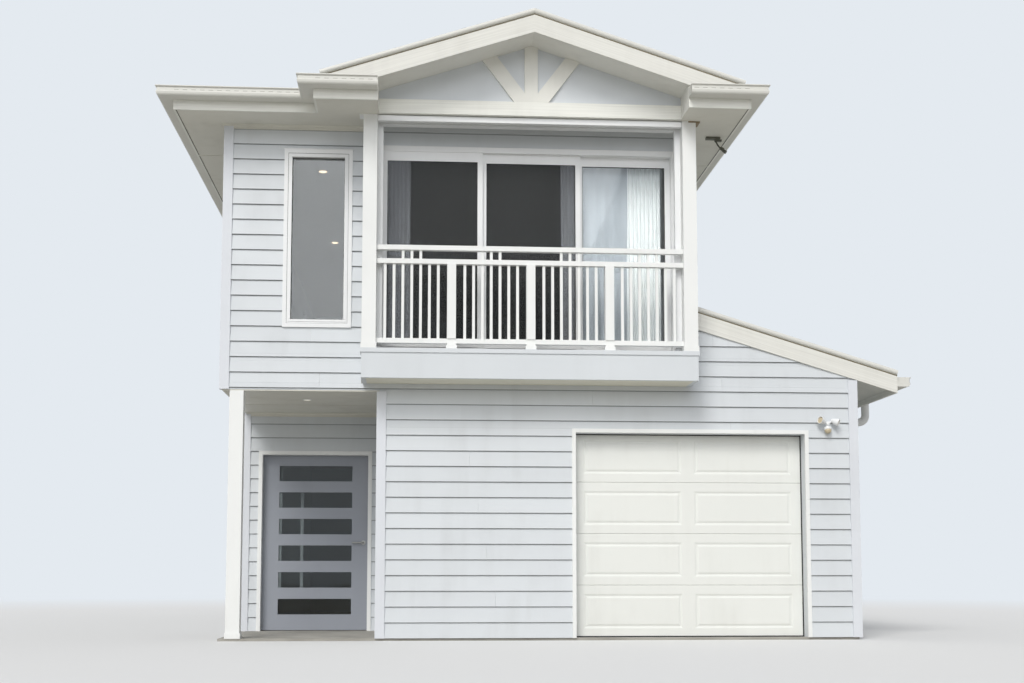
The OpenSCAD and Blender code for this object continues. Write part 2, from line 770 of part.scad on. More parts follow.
// Sliding door: the opening's corner, two sliding panels and a narrower fixed one at the right
slider_x0 = balcony_x - slider_w / 2;
slider_y = front_y - trim_proud;
slider_in = slider_w - 2 * slider_jamb;
panel_w = (slider_in + stile_lap + fixed_lap + fixed_less) / 3;
panel_x = [0, panel_w - stile_lap, 2 * panel_w - stile_lap - fixed_lap];
function wide(i) = i < 2 ? panel_w : panel_w - fixed_less;
track_gap = 6;
track_edge = 10;
module slider_frame() color(white_c) upright(slider_y, 2 * track_edge + 3 * (sash_d + track_gap))
    ring(slider_x0, upper_z, slider_x0 + slider_w, upper_z + slider_h, slider_jamb, slider_head);

// Draws an outline for panel i, each panel standing on a track of its own
module panel(i, inset, t) translate([slider_x0 + slider_jamb + panel_x[i],
    slider_y + track_edge + i * (sash_d + track_gap) + inset, upper_z + slider_head])
    upright(0, t) children();

panel_h = slider_h - 2 * slider_head;
module slider_panels() color(white_c) for (i = [0:2])
    panel(i, 0, sash_d) ring(0, 0, wide(i), panel_h, stile_w, sash_rail);

module slider_glass() color(glass_c) for (i = [0:2]) panel(i, (sash_d - glass_t) / 2, glass_t)
    span(stile_w, sash_rail, wide(i) - stile_w, panel_h - sash_rail);

// Windows: boards round the opening and a frame in it
window_d = 90;
window_set = 8;
module window_frames() color(white_c) each_window() {
    upright(-trim_proud, trim_proud) ring(-window_w / 2 - trim_w, -trim_w,
        window_w / 2 + trim_w, window_h + trim_w, trim_w, trim_w);
    upright(window_set - trim_proud, window_d)
        ring(-window_w / 2, 0, window_w / 2, window_h, frame_w, frame_w);
}

module window_glass() color(glass_c) each_window() upright(trim_proud, glass_t)
    span(frame_w - window_w / 2, frame_w, window_w / 2 - frame_w, window_h - frame_w);

// An angle board on an outside corner; d0 and d1 point along the two walls
module corner_board(p, d0, d1, z0, z1) flat(z0, z1 - z0)
    band([p + corner_w * d0, p, p + corner_w * d1], 0, trim_proud);

garage_board_z = lean_line(right_x + trim_proud) - barge_h;
step_board_z = lean_line(step_x - corner_w);
module corner_boards() color(board_c) {
    corner_board([left_x, front_y], [1, 0], [0, 1], porch_z, eave_z);
    corner_board([left_x, rear_y], [0, -1], [1, 0], floor_z, eave_z);
    corner_board([step_x, rear_y], [-1, 0], [0, -1], floor_z, eave_z);
    corner_board([right_x, front_y], [0, 1], [-1, 0], floor_z, garage_board_z);
    corner_board([right_x, garage_y], [-1, 0], [0, -1], floor_z, garage_board_z);
    corner_board([left_x, entry_y], [1, 0], [0, 1], floor_z, porch_z - lining_t);
    corner_board([porch_x, front_y], [1, 0], [0, 1], floor_z, porch_z - lining_t);
    flat(step_board_z, eave_z - step_board_z)
        span(step_x - corner_w, step_y - trim_proud, step_x, step_y);
}

porch_post_in = 76;
module porch_post() color(white_c)
    post(left_x + porch_post_in, front_y, floor_z, porch_z - lining_t);

// Entry door: frame with a stop, the door's edges, and the hinge line inside the left jamb
stop_w = 14;
leaf_x0 = left_x + entry_x + jamb_w + leaf_gap;
leaf_x1 = left_x + entry_x + entry_w - jamb_w - leaf_gap;
leaf_z0 = floor_z + leaf_gap;
leaf_z1 = floor_z + entry_h - jamb_w - leaf_gap;
leaf_in = entry_y + wall_t;
leaf_out = leaf_in - leaf_t;
module entry_opening(grow) span(left_x + entry_x + jamb_w + grow, floor_z - past,
    left_x + entry_x + entry_w - jamb_w - grow, floor_z + entry_h - jamb_w - grow);

module entry_frame() color(white_c) {
    y0 = entry_y - trim_proud;
    y1 = leaf_out - leaf_gap;
    upright(y0, y1 - y0) difference() {
        span(left_x + entry_x, floor_z, left_x + entry_x + entry_w, floor_z + entry_h);
        entry_opening(stop_w);
    }
    upright(y1, leaf_in - y1) difference() {
        span(left_x + entry_x, floor_z, left_x + entry_x + entry_w, floor_z + entry_h);
        entry_opening(0);
    }
}

// The glass lights of the door in elevation
module lights() for (i = [0:lite_n - 1]) translate([0, leaf_z1 - entry_top - i * lite_pitch])
    span(leaf_x0 + entry_stile, -lite_h, leaf_x1 - entry_stile, 0);

module entry_leaf() color(grey_c) upright(leaf_out, leaf_t) difference() {
    span(leaf_x0, leaf_z0, leaf_x1, leaf_z1);
    lights();
}

module entry_glass() color(glass_c) upright(leaf_out + (leaf_t - glass_t) / 2, glass_t) lights();

// Lift-off hinges: a pin and lower knuckle on the jamb, an upper knuckle on the door
hinge_r = 8;
pin_r = 4;
pin_fit = 0.06;
knuckle_h = 50;
hinge_gap = 1;
plate_w = 26;
plate_t = 3;
hinge_x = leaf_x0 - leaf_gap / 2;
hinge_y = leaf_in + hinge_r;
hinge_shares = [0.12, 0.5, 0.88];
module each_hinge() for (k = hinge_shares)
    translate([hinge_x, hinge_y, leaf_z0 + k * (leaf_z1 - leaf_z0)]) children();

module hinge_pins() color(steel_c) each_hinge() {
    translate([0, 0, -knuckle_h]) cylinder(r = hinge_r, h = knuckle_h);
    cylinder(r = pin_r, h = knuckle_h);
    translate([-plate_w, -hinge_r, -knuckle_h]) cube([plate_w, plate_t, knuckle_h]);
}

// Lever handle on both faces of the door, with the door's half of the hinges
handle_z = 1020;
handle_in = 60;
rose_r = 26;
rose_t = 8;
neck_r = 9;
neck_out = 52;
neck_bend = 18;
lever_w = 110;
module lever(y, side) translate([leaf_x1 - handle_in, y, floor_z + handle_z])
    rotate([90 * side, 0, 0]) {
        cylinder(r = rose_r, h = rose_t);
        cylinder(r = neck_r, h = neck_out - neck_bend);
        translate([-neck_bend, 0, neck_out - neck_bend]) quarter_bend(0, neck_bend, neck_r);
        translate([-neck_bend, 0, neck_out]) rotate([0, -90, 0])
            cylinder(r = neck_r, h = lever_w);
    }

module entry_hardware() color(steel_c) {
    each_hinge() difference() {
        union() {
            translate([0, 0, hinge_gap]) cylinder(r = hinge_r, h = knuckle_h);
            translate([0, -hinge_r, hinge_gap]) cube([plate_w, plate_t, knuckle_h]);
        }
        cylinder(r = pin_r + pin_fit, h = knuckle_h + hinge_gap + past);
    }
    lever(leaf_out, 1);
    lever(leaf_in, -1);
}

module garage_door_trim() color(white_c) upright(front_y - trim_proud, trim_proud) difference() {
    garage_doorway(trim_w, 0);
    garage_doorway(0, past);
}

// Sectional door behind the wall: bevelled sections, each with two pressed panels
door_lap = 30;
bevel = 5;
border_w = 20;
panel_in = 90;
section_h = (garage_door_h + door_lap) / section_n;
module garage_door() color(white_c) {
    x0 = door_x - door_lap;
    y0 = front_y + wall_t + section_gap;
    door_w = garage_door_w + 2 * door_lap;
    pressed_w = (door_w - 3 * panel_in) / 2;
    for (i = [0:section_n - 1]) translate([0, 0, floor_z + i * section_h]) {
        sideways(x0, door_w) polygon([[y0, bevel], [y0, section_h - bevel],
            [y0 + bevel, section_h], [y0 + section_t, section_h], [y0 + section_t, 0],
            [y0 + bevel, 0]]);
        for (k = [0, 1]) translate([x0 + panel_in + k * (pressed_w + panel_in), 0, 0])
            upright(y0 - emboss, emboss)
                ring(0, panel_in, pressed_w, section_h - panel_in, border_w, border_w);
    }
}

// Twin floodlight on the garage wall, drawn from the middle of its square plate
flood_in = 307;
flood_z = 2220;
flood_r = 42;
flood_plate = 40;
flood_tilt = 70;
flood_turn = 40;
sensor_r = 30;
module floodlight() {
    translate([-flood_r, -flood_plate, -flood_r]) cube([2 * flood_r, flood_plate, 2 * flood_r]);
    for (s = [-1, 1]) translate([s * flood_r / 2, -flood_plate / 2, 0])
        rotate([flood_tilt, 0, s * flood_turn]) rotate_extrude() polygon([[0, 0],
            [flood_r / 3, 0], [flood_r / 3, flood_r], [flood_r, 2 * flood_r],
            [flood_r, 3 * flood_r], [0, 3 * flood_r]]);
    translate([0, -flood_plate, -flood_r - sensor_r]) cylinder(r = sensor_r, h = 2 * sensor_r);
}

// Light under the right eave: a plate, and a leaning arm with a short lamp at its end
eave_light_in = 290;
eave_light_y = 50;
eave_plate_w = 150;
eave_plate_d = 60;
eave_plate_t = 25;
eave_arm_x = 40;
eave_arm_r = 9;
eave_arm = 180;
eave_arm_lean = 143;
eave_lamp_r = 26;
eave_lamp_h = 60;
module eave_light() {
    translate([-eave_plate_w / 2, -eave_plate_d / 2, -eave_plate_t])
        cube([eave_plate_w, eave_plate_d, eave_plate_t]);
    translate([eave_arm_x, 0, -eave_plate_t / 2]) rotate([0, eave_arm_lean, 0]) {
        cylinder(r = eave_arm_r, h = eave_arm);
        translate([0, 0, eave_arm - eave_lamp_h / 2]) cylinder(r = eave_lamp_r, h = eave_lamp_h);
    }
}

// Round light in the porch ceiling
porch_light_x = 813;
porch_light_y = 720;
porch_light_r = 48;
porch_light_t = 6;
module light_fittings() color(white_c) {
    translate([right_x - flood_in, front_y, floor_z + flood_z]) floodlight();
    translate([upper_x + eave_light_in, front_y + eave_light_y, eave_z]) eave_light();
    translate([left_x + porch_light_x, front_y + porch_light_y,
        porch_z - lining_t - porch_light_t]) cylinder(r = porch_light_r, h = porch_light_t);
}

// Curtains behind the sliding door, each between two shares of the opening's width
curtain_shares = [[0.025, 0.105], [0.618, 0.668], [0.834, 0.985]];
curtain_d = 70;
curtain_gap = 0.3;
curtain_rail = 40;
curtain_foot = 15;
module curtains() color(cloth_c) {
    y = front_y + wall_t + curtain_gap;
    for (c = curtain_shares) flat(upper_z + curtain_foot,
        slider_h + curtain_rail - curtain_gap - curtain_foot)
        span(slider_x0 + c[0] * slider_w, y, slider_x0 + c[1] * slider_w, y + curtain_d);
}

ground_slab();
garage_front_wall();
porch_side_wall();
entry_wall_left();
entry_wall_over();
lower_left_wall();
lower_rear_wall();
lower_right_wall();
garage_side_wall();
garage_rear_wall();
upper_floor();
upper_front_wall();
upper_left_wall();
upper_rear_wall();
upper_right_wall();
upper_step_wall();
ceiling();
eave_lining();
main_roof();
gable_roof();
garage_roof();
fascia_boards();
gutters();
downpipes();
barge_boards();
roof_capping();
gable_wall();
gable_timbers();
balcony_beam();
balcony_floor();
balcony_rim();
balcony_posts();
balustrade_rails();
balusters();
blind_box();
slider_frame();
slider_panels();
slider_glass();
window_frames();
window_glass();
corner_boards();
porch_post();
entry_frame();
hinge_pins();
entry_leaf();
entry_glass();
entry_hardware();
garage_door_trim();
garage_door();
light_fittings();
curtains();
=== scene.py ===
"""A two-storey weatherboard beach house with a gabled balcony over its garage.

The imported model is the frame. This script gives it boards, roof sheets, glazing details,
lamps, curtains and finishes. All lengths are in metres, in the model's own frame.
"""
import math

import bpy
import numpy as np
from mathutils import Matrix, Vector


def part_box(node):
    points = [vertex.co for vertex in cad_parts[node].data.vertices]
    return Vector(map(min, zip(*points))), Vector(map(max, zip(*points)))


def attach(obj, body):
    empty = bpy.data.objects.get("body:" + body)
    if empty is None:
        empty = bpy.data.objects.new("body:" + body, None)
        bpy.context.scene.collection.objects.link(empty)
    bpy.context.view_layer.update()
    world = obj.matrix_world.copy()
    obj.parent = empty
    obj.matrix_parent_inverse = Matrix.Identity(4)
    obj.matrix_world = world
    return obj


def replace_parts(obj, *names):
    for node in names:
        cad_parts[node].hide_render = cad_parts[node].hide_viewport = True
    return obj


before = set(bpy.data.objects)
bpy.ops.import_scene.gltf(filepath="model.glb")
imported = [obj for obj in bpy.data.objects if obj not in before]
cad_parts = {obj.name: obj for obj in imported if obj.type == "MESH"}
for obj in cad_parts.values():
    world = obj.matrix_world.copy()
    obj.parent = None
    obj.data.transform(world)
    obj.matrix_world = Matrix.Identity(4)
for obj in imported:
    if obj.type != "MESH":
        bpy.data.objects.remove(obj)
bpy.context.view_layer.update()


# ---- lines taken from the model
def low(name, axis):
    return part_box(name)[0]["xyz".index(axis)]


def high(name, axis):
    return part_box(name)[1]["xyz".index(axis)]


left_x, right_x = low("lower_left_wall", "x"), high("garage_side_wall", "x")
front_y, rear_y = low("garage_front_wall", "y"), high("lower_rear_wall", "y")
porch_x, upper_x = low("garage_front_wall", "x"), high("upper_front_wall", "x")
step_x, step_y = high("upper_right_wall", "x"), low("upper_right_wall", "y")
garage_y, entry_y = high("garage_rear_wall", "y"), low("entry_wall_over", "y")
floor_z, porch_z = high("ground_slab", "z"), low("upper_floor", "z")
upper_z, eave_z = high("upper_floor", "z"), low("ceiling", "z")
roof_z = high("gutters", "z")
eave_left, eave_rear = low("fascia_boards", "x"), high("fascia_boards", "y")
fascia_t = 0.022
eave_right = high("main_roof", "x") + fascia_t
balcony_left, balcony_y = low("balcony_beam", "x"), low("balcony_beam", "y")
balcony_x = (balcony_left + upper_x) / 2
rim_z, rim_top = low("balcony_rim", "z"), high("balcony_rim", "z")
beam_z = low("balcony_beam", "z")
gable_y, gable_left = low("barge_boards", "y"), 2 * balcony_x - eave_right
lean_x = high("barge_boards", "x")
lining_z = porch_z - 0.012
wall_t, post_w, corner_w = 0.14, 0.142, 0.07
pitch, hip_pitch, lean_pitch = (math.tan(math.radians(a)) for a in (18, 15, 17))
ridge_x = (eave_left + eave_right) / 2
lean_top = 3.441


def gable_line(x):
    """Height of the gable's roof line at x."""
    return roof_z + (eave_right - balcony_x - abs(x - balcony_x)) * pitch


def lean_line(x):
    """Height of the garage roof's slope line at x."""
    return lean_top - (x - upper_x) * lean_pitch


# ---- meshes from arrays
def add(name, data):
    """A new object of the scene."""
    o = bpy.data.objects.new(name, data)
    bpy.context.scene.collection.objects.link(o)
    return o


def make(name, parts, material, smooth=False, tone=None):
    """A piece on the house from parts, each its points (n, 3) and then arrays of faces.

    tone gives one number per point, kept in the attribute "tone" for the finish to read.
    """
    points, faces, first = [], [], 0
    for p, *sets in parts:
        p = np.asarray(p, float).reshape(-1, 3)
        points.append(p)
        for f in sets:
            faces.extend((np.asarray(f) + first).tolist())
        first += len(p)
    mesh = bpy.data.meshes.new(name)
    mesh.from_pydata(np.concatenate(points).tolist(), [], faces)
    if tone is not None:
        mesh.attributes.new("tone", "FLOAT", "POINT").data.foreach_set(
            "value", np.asarray(tone, np.float32))
    mesh.polygons.foreach_set("use_smooth", np.full(len(mesh.polygons), smooth))
    mesh.materials.append(material)
    mesh.update()
    piece = add(name, mesh)
    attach(piece, "house")
    return piece


def grid_faces(n, m, wrap_n=False, wrap_m=False):
    """Quads of an n by m grid of points, closed on itself along either way if asked."""
    i, j = np.meshgrid(np.arange(n - (not wrap_n)), np.arange(m - (not wrap_m)), indexing="ij")
    a, b = (i + 1) % n, (j + 1) % m
    return np.stack([i * m + j, i * m + b, a * m + b, a * m + j], -1).reshape(-1, 4)


def unit(rows):
    return rows / np.linalg.norm(rows, axis=1)[:, None]


def round_angles(n):
    return np.linspace(0, 2 * math.pi, n, endpoint=False)


def bars(profiles):
    """Closed bars from an array (bars, k, 2, 3): k profile points at each of the two ends.

    Each bar has k sides between neighbouring profile points, and a flat cap at either end.
    """
    b, k = profiles.shape[:2]
    first = np.arange(b)[:, None] * 2 * k
    i = np.arange(k)[None]
    start, after = first + 2 * i, first + 2 * ((i + 1) % k)
    sides = np.stack([start, start + 1, after + 1, after], -1)
    return profiles, sides.reshape(-1, 4), start, (start + 1)[:, ::-1]


def outside_out(p, *sets):
    """A closed part with its faces turned so that they all look outward."""
    q = np.asarray(p, float).reshape(-1, 3)
    volume = 0.0
    for f in sets:
        for i in range(1, f.shape[1] - 1):
            volume += np.einsum("ij,ij->i", q[f[:, 0]], np.cross(q[f[:, i]], q[f[:, i + 1]])).sum()
    return (p, *(sets if volume > 0 else [f[:, ::-1] for f in sets]))


def tube(rings):
    """A closed part from an array (n, k, 3): n rings of k points, capped at both ends."""
    n, k = rings.shape[:2]
    first = np.arange(k)[None]
    return outside_out(rings, grid_faces(n, k, wrap_m=True), first[:, ::-1], first + (n - 1) * k)


def swept(path, section, top=0.0):
    """A section of points (out, z) carried along a path in plan and mitred at right angles."""
    p, section = np.asarray(path, float), np.asarray(section, float)
    run = unit(np.diff(p, axis=0))
    out = np.stack([-run[:, 1], run[:, 0]], 1)
    way = np.concatenate([out[:1], out[:-1] + out[1:], out[-1:]])
    rings = np.empty((len(p), len(section), 3))
    rings[..., :2] = p[:, None] + section[None, :, :1] * way[:, None]
    rings[..., 2] = top + section[None, :, 1]
    return tube(rings)


def round_bar(points, radius, n=14):
    """A round bar along a line of points in a plane, its rings square to the line."""
    p = np.asarray(points, float)
    run = unit(np.gradient(p, axis=0))
    side = np.cross(run, (0.0, 0.0, 1.0))
    side[np.linalg.norm(side, axis=1) < 1e-6] = (1.0, 0.0, 0.0)
    side = unit(side)
    a = round_angles(n)[None, :, None]
    return tube(p[:, None] + radius * (np.cos(a) * side[:, None]
                                       + np.sin(a) * np.cross(side, run)[:, None]))


def turned(profile, centre, n=28, axis=(0.0, 0.0, 1.0)):
    """A closed round part: profile points (radius, way along the axis), its centre and axis.

    The axis must not be parallel to Y.
    """
    r, h = np.asarray(profile, float).T
    w = np.asarray(axis, float) / np.linalg.norm(axis)
    u = np.cross(w, (0.0, 1.0, 0.0))
    u /= np.linalg.norm(u)
    a = round_angles(n)[:, None, None]
    rings = (np.asarray(centre) + h[None, :, None] * w
             + r[None, :, None] * (np.cos(a) * u + np.sin(a) * np.cross(w, u)))
    return outside_out(rings, grid_faces(n, len(r), wrap_n=True, wrap_m=True))


def boxes(corners, cut=0.0015):
    """Boxes from an array (n, 2, 3) of low and high corners, their long edges chamfered by cut."""
    c = np.asarray(corners, float).reshape(-1, 2, 3)
    longest = np.argmax(c[:, 1] - c[:, 0], 1)
    out = []
    for long in np.unique(longest):
        lo, hi = c[longest == long].transpose(1, 0, 2)
        b, e = (i for i in range(3) if i != long)
        b0, b1, e0, e1 = lo[:, b], hi[:, b], lo[:, e], hi[:, e]
        q = np.empty((len(lo), 8, 2, 3))
        q[:, :, 0, long], q[:, :, 1, long] = lo[:, long, None], hi[:, long, None]
        q[..., b] = np.stack([b0 + cut, b1 - cut, b1, b1, b1 - cut, b0 + cut, b0, b0],
                             1)[..., None]
        q[..., e] = np.stack([e0, e0, e0 + cut, e1 - cut, e1, e1, e1 - cut, e0 + cut],
                             1)[..., None]
        out.append(outside_out(*bars(q)))
    return out


def slab(outline, y0, y1):
    """A flat board upright in X and Z: an outline of points (x, z) between two values of y."""
    xz = np.asarray(outline, float)
    return tube(np.stack([np.stack([xz[:, 0], 0 * xz[:, 0] + y, xz[:, 1]], 1)
                          for y in sorted((y0, y1))]))


def raked(line, x0, x1, under, over, y0, y1):
    """A board from x0 to x1 between two heights measured from a sloping line."""
    return slab([(x0, line(x0) + under), (x1, line(x1) + under),
                 (x1, line(x1) + over), (x0, line(x0) + over)], y0, y1)


# ---- node trees
class Net:
    """Short calls for a node tree."""

    def __init__(self, tree):
        self.tree = tree

    def feed(self, n, values):
        """Links or sets inputs of a node, each under its name or number."""
        for key, value in values.items():
            if isinstance(value, bpy.types.NodeSocket):
                self.tree.links.new(value, n.inputs[key])
            else:
                n.inputs[key].default_value = value

    def put(self, kind, values=None, out=0, **settings):
        """A new node with its settings and inputs: one of its outputs, or the node itself."""
        n = self.tree.nodes.new("ShaderNode" + kind)
        for key, value in settings.items():
            setattr(n, key, value)
        self.feed(n, values or {})
        return n if out is None else n.outputs[out]

    def math(self, operation, a, b=0.0):
        return self.put("Math", {0: a, 1: b}, operation=operation)

    def plus(self, a, b):
        return self.math("ADD", a, b)

    def times(self, a, b):
        return self.math("MULTIPLY", a, b)

    def split(self, where):
        """The three parts of a place, by name."""
        return self.put("SeparateXYZ", {0: where}, None).outputs

    def noise(self, where, scale, detail=3.0, stretch=None):
        """Noise of a given scale per metre; stretch squeezes the pattern along each axis."""
        if stretch:
            where = self.put("Mapping", {"Vector": where, "Scale": stretch})
        return self.put("TexNoise", {"Vector": where, "Scale": scale, "Detail": detail})

    def waves(self, along, pitch):
        """Sine waves of a given pitch, from -1 to 1."""
        return self.math("SINE", self.times(along, 2 * math.pi / pitch))

    def between(self, value, a, b, to0=0.0, to1=1.0):
        """value carried from the range a..b to the range to0..to1, and held there."""
        return self.put("MapRange", {0: value, 1: a, 2: b, 3: to0, 4: to1})

    def mix(self, share, a, b, blend="MIX"):
        return self.put("Mix", {0: share, 6: a, 7: b}, 2, data_type="RGBA", blend_type=blend)

    def bump(self, height, strength, distance):
        return self.put("Bump", {"Height": height, "Strength": strength, "Distance": distance})


def shade(r, g, b):
    """A colour given in screen values, 0 to 255, as the linear colour that nodes take."""
    return tuple(((v / 255 + 0.055) / 1.055) ** 2.4 for v in (r, g, b)) + (1.0,)


def group(name, takes, gives):
    """A new shader node group: its net, its inputs by name and its output node."""
    tree = bpy.data.node_groups.new(name, "ShaderNodeTree")
    for key, kind, value in takes:
        s = tree.interface.new_socket(key, in_out="INPUT", socket_type="NodeSocket" + kind)
        s.default_value = value
    for key, kind in gives:
        tree.interface.new_socket(key, in_out="OUTPUT", socket_type="NodeSocket" + kind)
    return Net(tree), tree.nodes.new("NodeGroupInput").outputs, tree.nodes.new("NodeGroupOutput")


def paint_group():
    """Paint outdoors: slow tone drift, dust washed down in streaks, and a roller's stipple."""
    net, take, end = group(
        "weathered_paint",
        [("Colour", "Color", (0.8, 0.8, 0.8, 1)), ("Dust", "Color", (0.4, 0.38, 0.34, 1)),
         ("Amount", "Float", 0.1), ("Drift", "Float", 0.05)],
        [("Color", "Color"), ("Roughness", "Float"), ("Height", "Float")])
    where = net.put("TexCoord", out="Object")
    level = net.between(net.noise(where, 0.55, 2.0), 0.3, 0.7, -0.5, 0.5)
    streak = net.noise(where, 1.0, 4.0, (7.0, 7.0, 0.6))
    cloud = net.noise(where, 2.6, 5.0)
    stipple = net.noise(where, 220.0, 2.0)
    dust = net.times(net.between(streak, 0.42, 0.72), net.between(cloud, 0.4, 0.7))
    bright = net.plus(net.times(level, take["Drift"]), 1.0)
    tinted = net.put("VectorMath", {0: take["Colour"], "Scale": bright}, operation="SCALE")
    net.feed(end, {
        "Color": net.mix(net.times(dust, take["Amount"]), tinted, take["Dust"]),
        "Roughness": net.plus(net.between(cloud, 0.3, 0.7, 0.42, 0.56), net.times(dust, 0.2)),
        "Height": net.plus(stipple, net.times(cloud, 0.6))})
    return net.tree


def grain_group():
    """Brushed timber: long soft ridges along one axis, with fine hairs between them.

    Height is first read square to a slope that falls both ways from Middle, if there is one.
    """
    net, take, end = group(
        "brushed_grain", [("Along", "Vector", (1.0, 1.0, 0.03)), ("Middle", "Float", 0.0),
                          ("Fall", "Float", 0.0)],
        [("Mask", "Float"), ("Height", "Float")])
    at = net.split(net.put("TexCoord", out="Object"))
    away = net.math("ABSOLUTE", net.math("SUBTRACT", at["X"], take["Middle"]))
    level = net.plus(at["Z"], net.times(away, take["Fall"]))
    flat = net.put("CombineXYZ", {"X": at["X"], "Y": at["Y"], "Z": level})
    laid = net.put("VectorMath", {0: flat, 1: take["Along"]}, operation="MULTIPLY")
    ridge, hair = net.noise(laid, 34.0, 5.0), net.noise(laid, 190.0, 3.0)
    net.feed(end, {"Mask": net.between(ridge, 0.35, 0.7),
                   "Height": net.plus(ridge, net.times(hair, 0.4))})
    return net.tree


PAINT, GRAIN = paint_group(), grain_group()
COURSE = 0.16
DUST = shade(120, 116, 106)


# ---- kinds of finish
def finish(name, coord="Object"):
    """A new material: its net, its main shader and, if coord names one, each point's place."""
    m = bpy.data.materials.new(name)
    m.use_nodes = True
    net = Net(m.node_tree)
    where = net.put("TexCoord", out=coord) if coord else None
    return m, net, m.node_tree.nodes["Principled BSDF"], where


def surface_of(m):
    """The input that takes a material's shader."""
    return next(n for n in m.node_tree.nodes if n.type == "OUTPUT_MATERIAL").inputs["Surface"]


def film(net, colour, amount, drift, dust=DUST):
    """The outputs of weathered paint over a colour."""
    return net.put("Group", {"Colour": colour, "Dust": dust, "Amount": amount, "Drift": drift},
                   None, node_tree=PAINT).outputs


def painted(name, colour, amount=0.10, drift=0.05, bump=0.15, grain=None, tone=0.0, spec=0.4,
            slope=(0.0, 0.0), mark=0.0, lap_shade=0.0):
    """Painted boards and trims. grain lays brush marks along an axis; tone varies each board.

    slope is the middle and the fall of a raked board, and mark how far its grain shows. The lap
    setting paints shade over the top few millimetres of each board, under the next board's edge, and on
    that edge.
    """
    m, net, bsdf, where = finish(name, "Object" if lap_shade else None)
    base = colour
    if tone:
        each = net.between(net.put("Attribute", attribute_name="tone", out="Fac"),
                           0.0, 1.0, 1.0 - tone, 1.0)
        grey = net.put("CombineColor", {"Red": each, "Green": each, "Blue": each})
        base = net.mix(1.0, colour, grey, "MULTIPLY")
    coat = film(net, base, amount, drift)
    seen, height = coat["Color"], coat["Height"]
    if grain:
        lines = net.put("Group", {"Along": grain, "Middle": slope[0], "Fall": slope[1]},
                        None, node_tree=GRAIN).outputs
        if mark:
            seen = net.mix(net.times(lines["Mask"], mark), seen, DUST)
        height = net.plus(net.times(height, 0.4), lines["Height"])
    if lap_shade:
        over = net.math("SUBTRACT", net.split(where)["Z"], floor_z - 0.0006)
        up = net.math("FRACT", net.math("DIVIDE", over, COURSE))
        # Shares of a course that get painted shade: its top under the next board's edge, and that edge
        # itself.
        under = net.math("MAXIMUM", net.between(up, 0.945, 0.975), net.between(up, 0.012, 0.006))
        seen = net.mix(net.times(under, lap_shade), seen, shade(96, 98, 98))
    net.feed(bsdf, {"Base Color": seen, "Roughness": coat["Roughness"],
                    "Normal": net.bump(height, bump, 0.0015), "Specular IOR Level": spec})
    return m


def coated_metal(name, colour, rough=0.34):
    """Powder-coated metal: fine orange peel, faint cloudy gloss and a little dust."""
    m, net, bsdf, where = finish(name)
    cloud = net.noise(where, 3.0, 4.0)
    net.feed(bsdf, {"Base Color": film(net, colour, 0.06, 0.03)["Color"],
                    "Roughness": net.between(cloud, 0.3, 0.7, rough - 0.05, rough + 0.08),
                    "Normal": net.bump(net.noise(where, 420.0, 1.0), 0.08, 0.0006)})
    return m


def roof_metal(name):
    """Coated steel sheet: pale and unevenly chalked, with scattered darker spots."""
    m, net, bsdf, where = finish(name)
    chalk, spots = net.noise(where, 1.6, 5.0), net.noise(where, 24.0, 4.0)
    colour = net.mix(net.between(chalk, 0.35, 0.7), shade(226, 226, 219), shade(212, 213, 207))
    colour = net.mix(net.times(net.between(spots, 0.6, 0.78), 0.35), colour, shade(168, 165, 154))
    net.feed(bsdf, {"Base Color": colour, "Normal": net.bump(spots, 0.1, 0.001),
                    "Roughness": net.between(chalk, 0.3, 0.7, 0.38, 0.55)})
    return m


def concrete(name):
    """Broomed concrete: mottled grey with pores and a faint sandy grain."""
    m, net, bsdf, where = finish(name)
    mottle, sand = net.noise(where, 2.2, 6.0), net.noise(where, 260.0, 3.0)
    pores = net.put("TexVoronoi", {"Vector": where, "Scale": 45.0}, out="Distance")
    colour = net.mix(net.between(mottle, 0.35, 0.7), shade(176, 173, 166), shade(150, 147, 140))
    # The pores are painted darker too: painted shade in the pits.
    colour = net.mix(net.between(pores, 0.0, 0.12, 0.5, 0.0), colour, shade(110, 107, 101))
    net.feed(bsdf, {"Base Color": colour, "Roughness": 0.9,
                    "Normal": net.bump(net.plus(sand, pores), 0.4, 0.002)})
    return m


def glazing(name, tint, passed, bend=1.5, rough=0.015):
    """Float glass with a slight roll wave and a breath of dust. Lamps shine through in part."""
    m, net, bsdf, where = finish(name)
    wave = net.noise(where, 1.1, 1.0, (1.0, 1.0, 3.0))
    haze = net.noise(where, 5.0, 4.0)
    net.feed(bsdf, {"Base Color": tint, "Transmission Weight": 1.0, "IOR": bend,
                    "Roughness": net.between(haze, 0.3, 0.8, rough, rough + 0.03),
                    "Normal": net.bump(wave, 0.05, 0.01)})
    clear = net.put("BsdfTransparent", {"Color": (passed, passed, passed, 1)})
    net.tree.links.new(net.put("MixShader", {0: net.put("LightPath", out="Is Shadow Ray"),
                                             1: bsdf.outputs[0], 2: clear}), surface_of(m))
    return m


def mesh_screen(name):
    """Dark woven fly mesh: crossing wires with open holes between them."""
    m, net, bsdf, where = finish(name)
    at = net.split(where)
    wires = [net.between(net.waves(at[axis], 0.002), -0.05, 0.3) for axis in ("X", "Z")]
    cover = net.math("MAXIMUM", *wires)
    net.feed(bsdf, {"Base Color": net.mix(cover, shade(30, 31, 32), shade(46, 47, 48)),
                    "Alpha": net.between(cover, 0.0, 1.0, 0.28, 0.62), "Roughness": 0.7})
    return m


